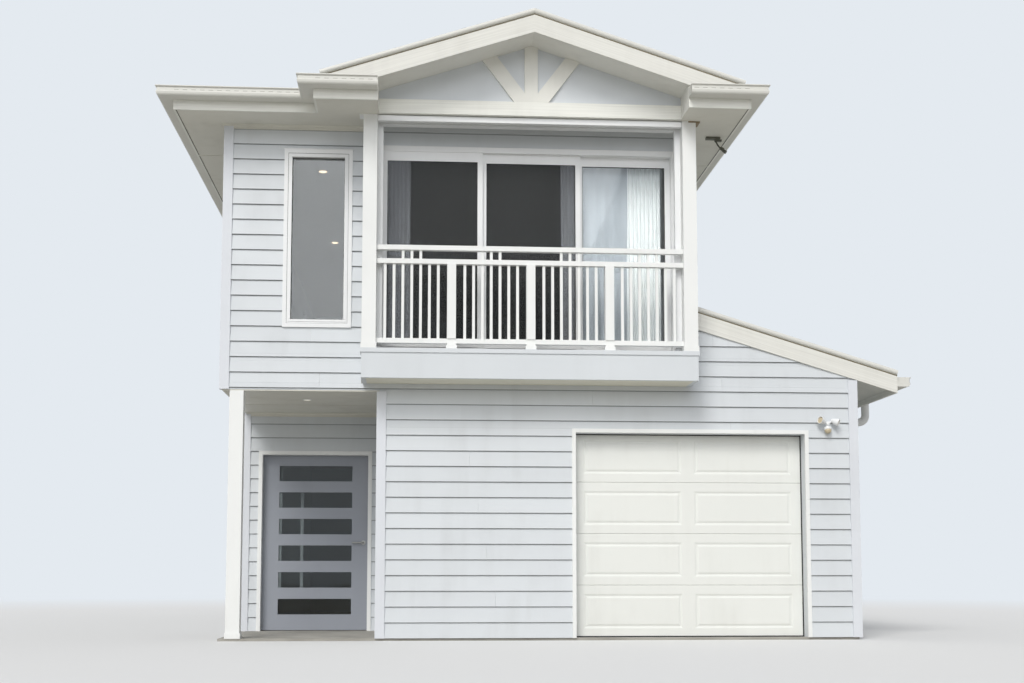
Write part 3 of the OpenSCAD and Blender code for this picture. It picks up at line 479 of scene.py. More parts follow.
def cloth(name, colour, glow=0.0):
    """Sheer woven cloth: threads both ways, soft slubs. glow is painted light: the cloth gives off a faint
    light, as room light through it would.
    """
    m, net, bsdf, where = finish(name, "UV")
    at = net.split(where)
    weave = net.times(net.waves(at["X"], 0.0016), net.waves(at["Y"], 0.0016))
    slub = net.noise(where, 40.0, 3.0, (1.0, 0.1, 1.0))
    dark = tuple(0.86 * c for c in colour[:3]) + (1.0,)
    mottle = net.between(net.plus(slub, net.times(weave, 0.1)), 0.3, 0.8)
    net.feed(bsdf, {"Base Color": net.mix(mottle, colour, dark), "Roughness": 0.85,
                    "Sheen Weight": 0.3, "Normal": net.bump(weave, 0.3, 0.0004)})
    # Painted light: a faint glow from the cloth itself.
    if glow:
        net.feed(bsdf, {"Emission Color": net.mix(net.between(slub, 0.3, 0.8), colour, dark),
                        "Emission Strength": glow})
    return m


def embossed_door(name, colour):
    """Garage door sheet: pressed wood grain along X under a satin coat."""
    m, net, bsdf, where = finish(name)
    laid = net.put("Mapping", {"Vector": where, "Scale": (1.2, 1.0, 26.0)})
    grain = net.put("TexNoise", {"Vector": laid, "Scale": 3.0, "Detail": 6.0, "Distortion": 0.6})
    fine = net.noise(where, 1.0, 3.0, (18.0, 18.0, 420.0))
    coat = film(net, colour, 0.10, 0.03, shade(150, 144, 130))
    net.feed(bsdf, {"Base Color": coat["Color"],
                    "Roughness": net.between(grain, 0.3, 0.7, 0.36, 0.5),
                    "Normal": net.bump(net.plus(grain, net.times(fine, 0.5)), 0.25, 0.0012)})
    return m


def lit_lens(name, colour, glow=1.3):
    """A frosted lens with its lamp on: a warm glow, mottled by the frosting."""
    m, net, bsdf, where = finish(name)
    frost = net.between(net.noise(where, 60.0, 3.0), 0.3, 0.7)
    net.feed(bsdf, {"Emission Color": net.mix(frost, colour, shade(255, 240, 214)),
                    "Emission Strength": glow, "Base Color": colour, "Roughness": 0.3})
    return m


def steel_finish(name):
    """Brushed stainless steel: fine lines across the lever and hinge."""
    m, net, bsdf, where = finish(name)
    lines = net.noise(where, 1.0, 2.0, (30.0, 30.0, 900.0))
    net.feed(bsdf, {"Base Color": shade(190, 190, 188), "Metallic": 1.0,
                    "Roughness": net.between(lines, 0.3, 0.7, 0.25, 0.4),
                    "Normal": net.bump(lines, 0.1, 0.0003)})
    return m


# ---- finishes, and where they go
BOARD, CREAM, WHITE = shade(217, 221, 225), shade(232, 231, 225), shade(240, 241, 240)
UPRIGHT, LEVEL, RAKED = (1.0, 1.0, 0.03), (0.03, 1.0, 1.0), (0.03, 0.4, 2.2)
# The boards get painted shade along each lap.
boards_m = painted("boards_paint", BOARD, drift=0.04, bump=0.12, tone=0.035, lap_shade=0.6)
wall_m = painted("wall_paint", BOARD, amount=0.06, drift=0.04, bump=0.2)
stop_m = painted("corner_paint", shade(222, 225, 231), amount=0.08, bump=0.12, grain=UPRIGHT)
cream_m = painted("cream_paint", CREAM, amount=0.12, bump=0.10)
barge_m = painted("barge_paint", CREAM, amount=0.12, bump=0.3, grain=RAKED,
                  slope=(balcony_x, pitch), mark=0.16)
lean_barge_m = painted("lean_barge_paint", CREAM, amount=0.12, bump=0.3, grain=RAKED,
                       slope=(-9.0, lean_pitch), mark=0.16)
fascia_m = painted("fascia_paint", shade(243, 243, 237), amount=0.12, bump=0.25,
                   grain=(0.03, 0.03, 2.2), mark=0.14)
lining_m = painted("lining_paint", shade(222, 220, 211), bump=0.12)
under_m = painted("underside_paint", shade(236, 233, 218), bump=0.12)
white_m = painted("white_paint", WHITE, amount=0.07, grain=(1.0, 1.0, 0.04))
rail_m = painted("rail_paint", WHITE, amount=0.07, grain=(0.04, 1.0, 1.0))
metal_m = coated_metal("white_powder_coat", shade(238, 239, 240))
cream_metal_m = coated_metal("cream_coated_steel", shade(219, 218, 212), 0.36)
roof_m = roof_metal("roof_sheet")
door_m = embossed_door("garage_door_sheet", shade(234, 235, 231))
grey_m = painted("entry_door_paint", shade(152, 156, 165), amount=0.05, bump=0.12,
                 grain=UPRIGHT, spec=0.5)
concrete_m = concrete("concrete")
glass_m = glazing("window_glass", (0.92, 0.94, 0.94, 1), 0.75, 1.66)
door_glass_m = glazing("door_glass", (0.42, 0.47, 0.47, 1), 0.4)
bright_glass_m = glazing("fixed_glass", (0.90, 0.94, 0.95, 1), 0.95, 1.62)
screened_glass_m = glazing("screened_glass", (0.78, 0.82, 0.83, 1), 0.75)
deck_m = painted("deck_timber", shade(150, 140, 126), amount=0.2, drift=0.2, bump=0.3,
                 grain=LEVEL, tone=0.12)
ceiling_m = painted("ceiling_paint", shade(236, 236, 232), amount=0.0, bump=0.1)
lens_m = lit_lens("warm_lens", shade(255, 214, 170))
cool_lens_m = lit_lens("cool_lens", shade(236, 234, 226), 0.55)
amber_m = painted("aged_lens", shade(205, 190, 160), amount=0.2, drift=0.1, bump=0.1, spec=0.6)
bronze_m = coated_metal("bronze_powder_coat", shade(96, 97, 86), 0.42)
rubber_and_gap_shade_m = painted("black_rubber_and_gap_shade", shade(38, 38, 40), bump=0.1, spec=0.3)
gap_shade_m = painted("gap_shade", shade(96, 92, 82), bump=0.1, spec=0.2)
roll_shade_m = painted("edge_shade", shade(140, 131, 112), bump=0.1, spec=0.2)
dark_plate_m = painted("dark_brown_plate", shade(134, 116, 88), amount=0.2, drift=0.15, bump=0.3,
                  grain=LEVEL)
slot_m = painted("slot_shade", shade(172, 170, 163), bump=0.1)
screen_m = mesh_screen("fly_mesh")
sheer_m = cloth("sheer_cloth", shade(246, 247, 246))
haze_m = cloth("thin_sheer_cloth", shade(176, 180, 186))
# The grey curtains glow faintly: painted light.
grey_cloth_glow_m = cloth("grey_cloth", shade(240, 240, 244), 0.2)
steel_m = steel_finish("brushed_steel")
FINISHES = {
    wall_m: "garage_front_wall porch_side_wall entry_wall_left entry_wall_over lower_left_wall "
            "lower_rear_wall lower_right_wall garage_side_wall garage_rear_wall "
            "upper_front_wall upper_left_wall upper_rear_wall upper_right_wall "
            "upper_step_wall gable_wall balcony_rim",
    stop_m: "corner_boards",
    cream_m: "gable_roof gable_timbers",
    fascia_m: "fascia_boards balcony_beam",
    barge_m: "barge_boards",
    cream_metal_m: "gutters roof_capping",
    lining_m: "eave_lining",
    roof_m: "main_roof garage_roof",
    white_m: "balcony_posts porch_post balusters entry_frame garage_door_trim",
    rail_m: "balustrade_rails",
    metal_m: "slider_frame slider_panels blind_box window_frames light_fittings downpipes",
    door_m: "garage_door",
    grey_m: "entry_leaf",
    concrete_m: "ground_slab upper_floor",
    under_m: "balcony_floor",
    glass_m: "window_glass",
    door_glass_m: "entry_glass",
    ceiling_m: "ceiling",
    steel_m: "hinge_pins entry_hardware",
}
for material, names in FINISHES.items():
    for name in names.split():
        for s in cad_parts[name].material_slots:
            s.material = material


# ---- weatherboards
LIP, HEAD, NOSE = 0.020, 0.003, 0.0015
LENGTH, STAGGER, LONG_WALL, OFFCUT, JOINT = 4.2, 1.37, 6, 0.3, 0.0007
rng = np.random.default_rng(7)


class Wall:
    """The outer face of a wall: s runs along it as seen from outside, z up, out is depth."""

    def __init__(self, side, plane):
        self.along = {"front": (1, 0), "right": (0, 1), "rear": (-1, 0), "left": (0, -1)}[side]
        self.out = (self.along[1], -self.along[0])
        self.plane = plane

    def place(self, s, depth, z):
        x, y = (self.plane * abs(o) + s * a + depth * o for a, o in zip(self.along, self.out))
        return np.stack([x, y, z + 0 * s], -1)


def board_bands(s0, s1, z0, z1, holes):
    """Splits a wall face into boards that miss the holes.

    Each row holds the foot of its course, its z from and to, its s from and to, and whether it
    starts at the start of the wall. Boards on a long wall meet in staggered joints.
    """
    rows = []
    k0 = int(math.floor((z0 - floor_z) / COURSE + 1e-6))
    k1 = int(math.ceil((z1 - floor_z) / COURSE - 1e-6))
    for k in range(k0, k1):
        foot = floor_z + k * COURSE
        lo, hi = max(foot, z0), min(foot + COURSE, z1)
        cuts = sorted({lo, hi} | {z for h in holes for z in h[2:] if lo + 1e-4 < z < hi - 1e-4})
        start, count = s0 + k * STAGGER % LENGTH, int((s1 - s0) / LENGTH) + 1
        joints = [start + LENGTH * i for i in range(count if s1 - s0 > LONG_WALL else 0)]
        for za, zb in zip(cuts[:-1], cuts[1:]):
            spans, at = [], s0
            for a, b in sorted((h[0], h[1]) for h in holes if h[2] < (za + zb) / 2 < h[3]):
                if a > at:
                    spans.append((at, min(a, s1)))
                at = max(at, b)
            if at < s1:
                spans.append((at, s1))
            for a, b in spans:
                edges = [a] + [j for j in joints if a + OFFCUT < j < b - OFFCUT] + [b]
                for p, q in zip(edges[:-1], edges[1:]):
                    rows.append((foot, za, zb, p + JOINT * (p != a), q - JOINT * (q != b),
                                 p == s0))
    return np.array(rows, float)


def weatherboards(name, side, plane, s0, s1, z0, z1, holes=(), mitre=0, cut0=None, cut1=None):
    """Lapped boards over one wall face, cut to a raked line, or mitred at the start corner.

    Depth of a board's face at height h over its foot = LIP - (LIP - HEAD) * h / COURSE.
    """
    foot, za, zb, sa, sb, at0 = board_bands(s0, s1, z0, z1, holes).T
    da = LIP - (LIP - HEAD) * (za - foot) / COURSE
    db = LIP - (LIP - HEAD) * (zb - foot) / COURSE
    zero = np.zeros_like(za)
    z = np.stack([za, za, za + 0.3 * NOSE, za + NOSE, zb, zb], 1)
    d = np.stack([zero, da - NOSE, da - 0.3 * NOSE, da, db, zero], 1)
    a = sa[:, None] - mitre * at0[:, None] * d
    b = sb[:, None] + 0 * d
    if cut0:
        a = np.minimum(np.maximum(a, cut0(z)), b)
    if cut1:
        b = np.maximum(np.minimum(b, cut1(z, d)), a)
    keep = (b - a).max(1) > 0.002
    s, d, z = np.stack([a, b], 2)[keep], d[keep, :, None], z[keep, :, None]
    points = Wall(side, plane).place(s, d + 0 * s, z + 0 * s)
    tone = np.repeat(rng.random(len(points)), 12)
    return make(name, [bars(points)], boards_m, tone=tone)


WINDOW_W, WINDOW_H, TRIM = 0.628, 1.8, 0.04
sills = (3.255, 0.415)
rear_w = step_x - left_x
WINDOWS = {"front": [(-2.3505, sills[0])],
           "left": [(-3.3, sills[0]), (1.32, sills[0]), (-3.3, sills[1]), (0.55, sills[1])],
           "right": [(3.2, z) for z in sills],
           "rear": [(share * rear_w - step_x, z) for z in sills for share in (0.27, 0.73)]}
SLIDER = (balcony_x - 1.555, balcony_x + 1.555, upper_z, upper_z + 2.29)
FAR = 9


def round_windows(side):
    """The rectangles (s0, s1, z0, z1) that the boards of one side leave for its windows."""
    w = WINDOW_W / 2 + TRIM
    return [(s - w, s + w, z - TRIM, z + WINDOW_H + TRIM) for s, z in WINDOWS[side]]


def rake(z):
    """x at which the middle of the garage barge board is at height z."""
    return upper_x + (lean_top - 0.07 - z) / lean_pitch


garage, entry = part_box("garage_door_trim"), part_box("entry_frame")
over_lean, under_lean = 0.02, 0.03
for name, *face, settings in (
        ("boards_front", "front", front_y, left_x + corner_w, right_x - corner_w, floor_z, 5.438,
         {"holes": round_windows("front") + [
             (left_x, porch_x + corner_w, 0, porch_z),
             (balcony_left - 0.013, upper_x + 0.03, rim_z, rim_top),
             SLIDER, (garage[0].x, garage[1].x, 0, garage[1].z),
             (left_x, balcony_left, eave_z, FAR)],
          "cut1": lambda z, d: np.maximum(upper_x + d, rake(z))}),
        ("boards_left", "left", left_x, corner_w - rear_y, -front_y - corner_w, floor_z, eave_z,
         {"holes": round_windows("left") + [(-entry_y - corner_w, FAR, 0, porch_z)]}),
        ("boards_rear", "rear", rear_y, corner_w - step_x, -left_x - corner_w, floor_z, eave_z,
         {"holes": round_windows("rear")}),
        ("boards_right", "right", step_x, step_y, rear_y - corner_w, floor_z, eave_z,
         {"holes": round_windows("right") + [
             (-FAR, garage_y, 0, lean_line(step_x) + over_lean)]}),
        ("boards_step_side", "right", upper_x, front_y, step_y, lean_line(upper_x) + over_lean,
         eave_z, {"mitre": 1}),
        ("boards_step", "front", step_y, upper_x, step_x - corner_w,
         lean_line(step_x) + over_lean, eave_z, {}),
        ("boards_garage_side", "right", right_x, front_y + corner_w, garage_y - corner_w,
         floor_z, lean_line(right_x) - 0.12, {}),
        ("boards_garage_rear", "rear", garage_y, corner_w - right_x, -step_x, floor_z,
         lean_line(step_x) - under_lean, {"cut0": lambda z: -rake(z)}),
        ("boards_porch_side", "left", porch_x, -entry_y, -front_y - corner_w, floor_z, lining_z,
         {}),
        ("boards_entry", "front", entry_y, left_x + corner_w, porch_x, floor_z, lining_z,
         {"holes": [(entry[0].x, entry[1].x, 0, entry[1].z)]})):
    weatherboards(name, *face, **settings)


# ---- roof sheets
RIB, DEPTH, CREST, STEPS = 0.076, 0.008, 0.0105, 8
ratio = pitch / hip_pitch
half_gable = eave_right - balcony_x
capping_w, lean_capping_w, clear = 0.156, 0.125, 0.002


def corrugated(across, point):
    """Corrugated sheet down a slope. across is the range of the level axis u.

    point(u, v) gives the slope's point, v from 0 at the foot to 1 at the head of each rib.
    Height over the slope = CREST + DEPTH * sin(2 pi u / RIB), so ribs run down the slope,
    with STEPS points across each. All faces look up.
    """
    n = int(round((across[1] - across[0]) / RIB * STEPS))
    u = np.linspace(across[0], across[1], n + 1)[:, None]
    v = np.linspace(0.0, 1.0, 5)[None]
    p = point(u + 0 * v, v + 0 * u)
    p[..., 2] += CREST + DEPTH * np.sin(2 * math.pi * (u + 0 * v) / RIB)
    faces = grid_faces(*p.shape[:2])
    q = p.reshape(-1, 3)[faces]
    down = np.cross(q[:, 1] - q[:, 0], q[:, 3] - q[:, 0])[:, 2] < 0
    faces[down] = faces[down][:, ::-1]
    return p, faces


def hip_limit(u):
    """Width of the side slope at y = u: the hip lines cut it back towards both ends."""
    return np.clip(np.minimum(u - balcony_y, eave_rear - u) / ratio, 0, eave_right - ridge_x)


def gable_limit(u):
    """Width of the right slope at y = u: as far as the gable's ridge, and then the hip lines."""
    return np.where(u < balcony_y + half_gable * ratio, half_gable, hip_limit(u))


def side_slope(x_edge, way, reach):
    """Points of a side slope that rises from x_edge; u is y, and reach(u) its width there."""
    def point(u, v):
        x = x_edge + way * v * reach(u)
        return np.stack([x, u, roof_z + np.abs(x - x_edge) * pitch], -1)
    return point


def front_hip(u, v):
    """Front hip slope: from the eave or the gable's valley up to the hip line above it."""
    foot = balcony_y + np.clip(u - gable_left, 0, None) * ratio
    head = balcony_y + np.minimum(u - eave_left, eave_right - u) * ratio
    y = foot + v * np.maximum(head - foot, 0)
    return np.stack([u, y, roof_z + (y - balcony_y) * hip_pitch], -1)


def rear_hip(u, v):
    y = eave_rear - v * np.minimum(u - eave_left, eave_right - u) * ratio
    return np.stack([u, y, roof_z + (eave_rear - y) * hip_pitch], -1)


def gable_slope(u, v):
    """Left slope of the gable: from its eave or valley up to its ridge; u is y."""
    foot = gable_left + np.clip(u - balcony_y, 0, None) / ratio
    x = foot + v * np.maximum(balcony_x - foot, 0)
    return np.stack([x, u, roof_z + (x - gable_left) * pitch], -1)


def lean_slope(u, v):
    """Garage roof: from its foot up to the upper wall, which steps out behind step_y."""
    head = np.where(u < step_y, upper_x, step_x) + clear
    x = lean_x - clear + v * (head - lean_x + clear)
    return np.stack([x, u, lean_line(x)], -1)


for name, slopes in (
        ("roof_sheets", [
            ((balcony_y, eave_rear), side_slope(eave_left, 1, hip_limit)),
            ((gable_y + capping_w, eave_rear), side_slope(eave_right, -1, gable_limit)),
            ((eave_left, balcony_x), front_hip),
            ((eave_left, eave_right), rear_hip),
            ((gable_y + capping_w, balcony_y + half_gable * ratio), gable_slope)]),
        ("garage_roof_sheets", [
            ((front_y + lean_capping_w, garage_y - lean_capping_w), lean_slope)])):
    make(name, [corrugated(*slope) for slope in slopes], roof_m, smooth=True)


# ---- gutters and pipes
def arc(cx, cz, r, a0, a1, n):
    """n points (out, z) on an arc from a0 to a1 degrees."""
    a = np.radians(np.linspace(a0, a1, n))
    return np.stack([cx + r * np.cos(a), cz + r * np.sin(a)], 1)


def sheet_section(line, t=0.0016):
    """The outline of a bent sheet: a line of points and the same line moved in by t."""
    run = unit(np.gradient(line, axis=0))
    return np.concatenate([line, (line + t * np.stack([-run[:, 1], run[:, 0]], 1))[::-1]])


BACK, FACE = 0.0005, 0.1440
TRAY = np.concatenate([
    [(BACK, -0.010), (BACK, -0.050)], arc(0.0065, -0.0985, 0.006, 180, 270, 4),
    arc(0.1185, -0.0730, 0.0315, 270, 350, 8), arc(0.1485, -0.0640, 0.0035, -10, 70, 3),
    [(FACE, -0.0560), (FACE, -0.0190), (0.1475, -0.0160)]])
BEAD = arc(0.1526, -0.0078, 0.0072, -125, 150, 13)
GUTTER = sheet_section(np.concatenate([TRAY, BEAD]))
END_PLATE = np.concatenate([TRAY, BEAD[:-9], [(0.153, -0.003), (BACK, -0.003)]])
RETURN = 0.635
eave_path = np.array([
    (gable_left + RETURN, gable_y), (gable_left, gable_y), (gable_left, balcony_y),
    (eave_left, balcony_y), (eave_left, eave_rear), (eave_right, eave_rear),
    (eave_right, gable_y), (eave_right - RETURN, gable_y)])
lean_path = np.array([(lean_x, garage_y), (lean_x, front_y)])
gutter_parts = []
for path, top in ((eave_path, roof_z), (lean_path, lean_line(lean_x))):
    gutter_parts.append(swept(path, GUTTER, top))
    # Both plates run towards their end, so the first one comes out behind the gutter's back.
    for end, beside in ((path[0], path[1]), (path[-1], path[-2])):
        inner = end + (beside - end) / np.linalg.norm(beside - end) * 0.002
        gutter_parts.append(swept([inner, end], END_PLATE, top))
# Slots along the gutter faces: each is a thin grey plate, the painted shade inside a slot.
slots = []
slot_w, slot_t, slot_every, slot_low, slot_high = 0.045, 0.0006, 0.085, 0.047, 0.042
for axis, start, stop, line, way, top in (
        (0, gable_left, gable_left + RETURN, gable_y, -1, roof_z),
        (0, eave_left, gable_left, balcony_y, -1, roof_z),
        (0, eave_right - RETURN, eave_right, gable_y, -1, roof_z),
        (1, balcony_y, eave_rear, eave_left, -1, roof_z),
        (1, gable_y, eave_rear, eave_right, 1, roof_z),
        (1, front_y, garage_y, lean_x, 1, lean_line(lean_x))):
    at = np.arange(start + 0.03, stop - 0.05, slot_every)
    row = np.empty((len(at), 2, 3))
    row[:, 0, axis], row[:, 1, axis] = at, at + slot_w
    row[..., 1 - axis] = sorted((line + way * FACE, line + way * (FACE + slot_t)))
    row[..., 2] = top - slot_low, top - slot_high
    slots.append(row)
make("gutter_slots", boxes(np.concatenate(slots), 0.0002), slot_m)
gutter_piece = make("gutters_folded", gutter_parts, cream_metal_m)
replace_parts(gutter_piece, "gutters")


def sleeve(r, flare, half, inset, place):
    """A ring that stands flare out of a pipe, half its length to either side of a place."""
    return turned([(r - 0.001, -half), (r + flare, inset - half),
                   (r + flare, half - inset), (r - 0.001, half)], place)


pipe_r, pipe_out, strap, strap_y = 0.045, 0.07, 0.068, 0.060
rear_pipe_y, rear_clips, garage_clips = rear_y - 0.6, (0.5, 2.4, 4.3), (0.4, 1.9)
clips, straps = [], []
for x, y, heights, wall in ((left_x - pipe_out, rear_pipe_y, rear_clips, 1),
                            (eave_right + 0.0775, rear_pipe_y, rear_clips, 0),
                            (right_x + pipe_out, front_y + 1.28, garage_clips, -1)):
    for z in heights:
        clips.append(sleeve(pipe_r, 0.003, 0.014, 0.0, (x, y, z)))
        for mid in (y - strap_y, y + strap_y) if wall else ():
            straps.append([(min(x, x + wall * strap), mid - 0.002, z - 0.012),
                           (max(x, x + wall * strap), mid + 0.002, z + 0.012)])
    clips.append(sleeve(pipe_r, 0.002, 0.040, 0.002, (x, y, heights[0] + 1.2)))
make("pipe_clips", clips + boxes(straps, 0.0005), metal_m)


# ---- cappings and facings
ROLL, RISE, BARGE, FACING = 0.027, 0.068, 0.177, 0.0085
ROLL_OUT, LINE_T, FOOT_IN, MITRE = 0.008, 0.0004, 0.061, 0.001
top_in = RISE - 1.8 * ROLL
# The band under each capping roll that gets a painted shadow line.
ROLL_SHADE_BAND = (top_in - 0.018, top_in - 0.004)
lean_faces = ((upper_x, front_y - 0.025, -1), (step_x, garage_y + 0.025, 1))


def roll(xs, line, y):
    """The rolled edge of a capping along a sloping line."""
    return round_bar([(x, y, line(x) + RISE - ROLL) for x in xs], ROLL, 20)


rolls = [roll((gable_left + FOOT_IN, balcony_x - MITRE, balcony_x + MITRE, eave_right - FOOT_IN),
              gable_line, gable_y - ROLL_OUT)]
facings, lines = [], []
for way in (-1, 1):
    end = balcony_x + way * half_gable
    foot = end - way * FOOT_IN
    facings.append(slab([(balcony_x, gable_line(balcony_x) - BARGE),
                         (end - way * BARGE / pitch, roof_z + 0.001), (foot, roof_z + 0.001),
                         (foot, gable_line(foot) + top_in),
                         (balcony_x, gable_line(balcony_x) + top_in)],
                        gable_y - FACING, gable_y))
    lines.append(raked(gable_line, balcony_x, foot, *ROLL_SHADE_BAND, gable_y - FACING - LINE_T,
                       gable_y - FACING))
for x0, y, way in lean_faces:
    rolls.append(roll((x0 + clear, (x0 + lean_x) / 2, lean_x), lean_line, y + way * ROLL_OUT))
    out_y = y + way * FACING
    make("lean_facing_front" if way < 0 else "lean_facing_rear",
         [raked(lean_line, x0, lean_x, -BARGE, top_in, y, out_y)], lean_barge_m)
    lines.append(raked(lean_line, x0, lean_x, *ROLL_SHADE_BAND, out_y, out_y + way * LINE_T))
make("gable_facing", facings, barge_m)
# A dark line under each roll: painted shadow.
make("capping_roll_shade", lines, roll_shade_m)
# A dark brown plate over the head of the right post.
make("post_head", boxes([[(upper_x - 0.078, balcony_y - 0.003, eave_z - 0.0145),
                          (upper_x + 0.044, balcony_y + 0.145, eave_z - 0.0005)]], 0.001),
     dark_plate_m)
make("beam_facing", boxes([[(balcony_left, balcony_y - 0.030, beam_z),
                            (upper_x, balcony_y, beam_z + 0.147)]], 0.002),
     fascia_m)
make("capping_rolls", rolls, cream_metal_m)


# ---- linings, beads and deck
QUAD = np.concatenate([[(0.0, 0.0), (0.0, -0.042), (0.024, -0.042)],
                       arc(0.024, 0.0, 0.019, -80, -10, 6), [(0.043, 0.0)]])
beads = [swept(path, QUAD, z) for path, z in (
    ([(balcony_left, front_y), (left_x, front_y), (left_x, rear_y), (step_x, rear_y),
      (step_x, step_y)], eave_z),
    ([(upper_x, step_y), (upper_x, front_y)], eave_z),
    ([(porch_x, entry_y), (left_x + 0.02, entry_y)], lining_z))]
make("wall_beads", beads, lining_m)

strips = []
in_left, in_right, in_rear = eave_left + fascia_t, eave_right - fascia_t, eave_rear - fascia_t
half_strip, strip_t, off, sheet_w = 0.014, 0.0035, 0.02, 2.4
for y in np.arange(front_y + 1.1, rear_y, sheet_w):
    wall = upper_x if y < step_y else step_x
    strips += [[(a, y - half_strip, eave_z - strip_t), (b, y + half_strip, eave_z)]
               for a, b in ((in_left, left_x - off), (wall + off, in_right)) if b - a > 0.04]
for x in np.arange(left_x + 1.2, step_x, sheet_w):
    strips.append([(x - half_strip, rear_y + off, eave_z - strip_t),
                   (x + half_strip, in_rear, eave_z)])
strips.append([(left_x + off, front_y + 1.19, lining_z - strip_t),
               (porch_x - off, front_y + 1.218, lining_z)])
make("lining_strips", boxes(strips, 0.001), lining_m)
# Dark strips along the inner edge of the fascias, under the lining: painted shade in the gap there.
gap_w, gap_z = 0.009, eave_z - 0.002
gap_shade_strips = [[(in_left, balcony_y + off, gap_z), (in_left + gap_w, in_rear, eave_z)],
        [(in_right - gap_w, gable_y + off, gap_z), (in_right, in_rear, eave_z)],
        [(in_left, in_rear - gap_w, gap_z), (in_right, in_rear, eave_z)]]
make("lining_gap_shade", boxes(gap_shade_strips, 0.0005), gap_shade_m)

deck_y = np.linspace(balcony_y + 0.047, front_y - 0.032, 6)
deck = [[(balcony_left + 0.047, a + 0.002, upper_z - 0.015),
         (upper_x - 0.047, b - 0.002, upper_z + 0.004)] for a, b in zip(deck_y[:-1], deck_y[1:])]
make("deck_boards", boxes(deck, 0.003), deck_m,
     tone=np.repeat(rng.random(len(deck)), 16))


# ---- seals, meshes and pulls
def plates(wall, runs, d0, d1, cut=0.0006):
    """Plates on a wall, one for each (s0, s1, z0, z1), from d0 to d1 out of its face."""
    s0, s1, z0, z1 = np.asarray(runs, float).T
    d = np.array([d0, d1 - cut, d1, d1, d1 - cut, d0])[None, :, None]
    z = np.stack([z0, z0, z0 + cut, z1 - cut, z1, z1], 1)[..., None]
    s = np.stack([s0, s1], 1)[:, None] + 0 * z
    return outside_out(*bars(wall.place(s, d + 0 * s, z + 0 * s)))


def edging(rects, w):
    """Four strips of width w just inside each rectangle (s0, s1, z0, z1)."""
    s0, s1, z0, z1 = np.asarray(rects, float).T
    return np.concatenate([np.stack(q, 1) for q in (
        (s0, s1, z0, z0 + w), (s0, s1, z1 - w, z1), (s0, s0 + w, z0 + w, z1 - w),
        (s1 - w, s1, z0 + w, z1 - w))])


def shrunk(rects, w):
    """Rectangles drawn in by w on all four sides."""
    return [(a + w, b - w, c + w, d - w) for a, b, c, d in rects]


# Black strips: rubber seals round the slider panes and the garage door, which also paint the shade of the
# door's gaps; the thin rings on the window frames and sashes are painted shade lines at their steps.
seals_and_gap_shade, heads, sashes = [], [], []
half, hood = WINDOW_W / 2, 0.006
for side, plane in (("front", front_y), ("left", left_x), ("right", step_x), ("rear", rear_y)):
    wall = Wall(side, plane)
    frames = [(s - half, s + half, z, z + WINDOW_H) for s, z in WINDOWS[side]]
    leaves = shrunk(frames, 0.016)
    seals_and_gap_shade += [plates(wall, edging(shrunk(frames, 0.041), 0.005), -0.028, -0.022),
              plates(wall, edging(frames, 0.003), 0.0200, 0.0204, 0.0001),
              plates(wall, edging(leaves, 0.0265), 0.0194, 0.0204, 0.0001)]
    sashes.append(plates(wall, edging(leaves, 0.0255), 0.0195, 0.0255, 0.0025))
    heads.append(plates(wall, [(a - hood, b + hood, d, d + hood)
                               for a, b, _, d in round_windows(side)], 0.0, 0.036))
track_y, track_w, stile_w, pane_z = -5.506, 0.038, 0.055, (3.112, 4.997)
glass_y = [track_y + track_w * i for i in range(3)]
panes = [(SLIDER[0] + x + stile_w, SLIDER[0] + x + w - stile_w, *pane_z)
         for x, w in ((0.028, 1.054), (1.067, 1.054), (2.088, 0.994))]
slider_walls = [Wall("front", y) for y in glass_y]
for wall, pane in zip(slider_walls, panes):
    seals_and_gap_shade.append(plates(wall, edging([pane], 0.005), 0.0, 0.006))
door_w0, door_w1, door_top = garage[0].x + TRIM, garage[1].x - TRIM, garage[1].z - TRIM
seals_and_gap_shade.append(plates(Wall("front", front_y + wall_t), [
    (door_w0, door_w1, door_top - 0.010, door_top), (door_w0, door_w0 + 0.006, floor_z, door_top),
    (door_w1 - 0.010, door_w1, floor_z, door_top),
    (door_w0, door_w1, floor_z, floor_z + 0.012)], -0.012, 0.0))
make("rubber_seals_and_gap_shade", seals_and_gap_shade, rubber_and_gap_shade_m)
make("window_sashes", sashes, metal_m)
make("window_heads", heads, metal_m)


def sheets(numbers, d0, d1, cut):
    """A thin sheet over each pane in a list of their numbers."""
    return [plates(slider_walls[i], [panes[i]], d0, d1, cut) for i in numbers]


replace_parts(make("glass_screened", sheets((0, 1), -0.008, 0.0, 0.0005), screened_glass_m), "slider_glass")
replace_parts(make("glass_fixed", sheets((2,), -0.008, 0.0, 0.0005), bright_glass_m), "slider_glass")
make("fly_screens", sheets((0, 1), 0.008, 0.009, 0.0001), screen_m).visible_shadow = False
rail_z = (3.015, 3.113)
rails = [[(a - 0.001, y - 0.012, rail_z[0]), (b + 0.001, y + 0.020, rail_z[1])]
         for (a, b, *_), y in zip(panes, glass_y)]
make("slider_rails", boxes(rails, 0.002), metal_m)
pull_foot, pull_h = 3.78, 0.24
pull_z = np.linspace(pull_foot, pull_foot + pull_h, 13)
bow = 0.026 * np.clip(np.sin(np.pi * (pull_z - pull_foot) / pull_h) * 3, 0, 1)
pull = np.stack([panes[1][0] - 0.028 + 0 * pull_z, glass_y[0] - 0.012 - bow, pull_z], 1)
make("slider_pulls", [round_bar(pull, 0.007)], metal_m, smooth=True)


# ---- lights and blind
POLE = 0.0005
discs = [turned([(POLE, -0.004), (0.040, -0.0045), (0.046, -0.002), (0.046, 0.0), (POLE, 0.0)],
                (x, y, eave_z - 0.0005)) for x, y in ((-2.417, -3.862), (-2.471, -0.369))]
make("ceiling_lights", discs, lens_m)

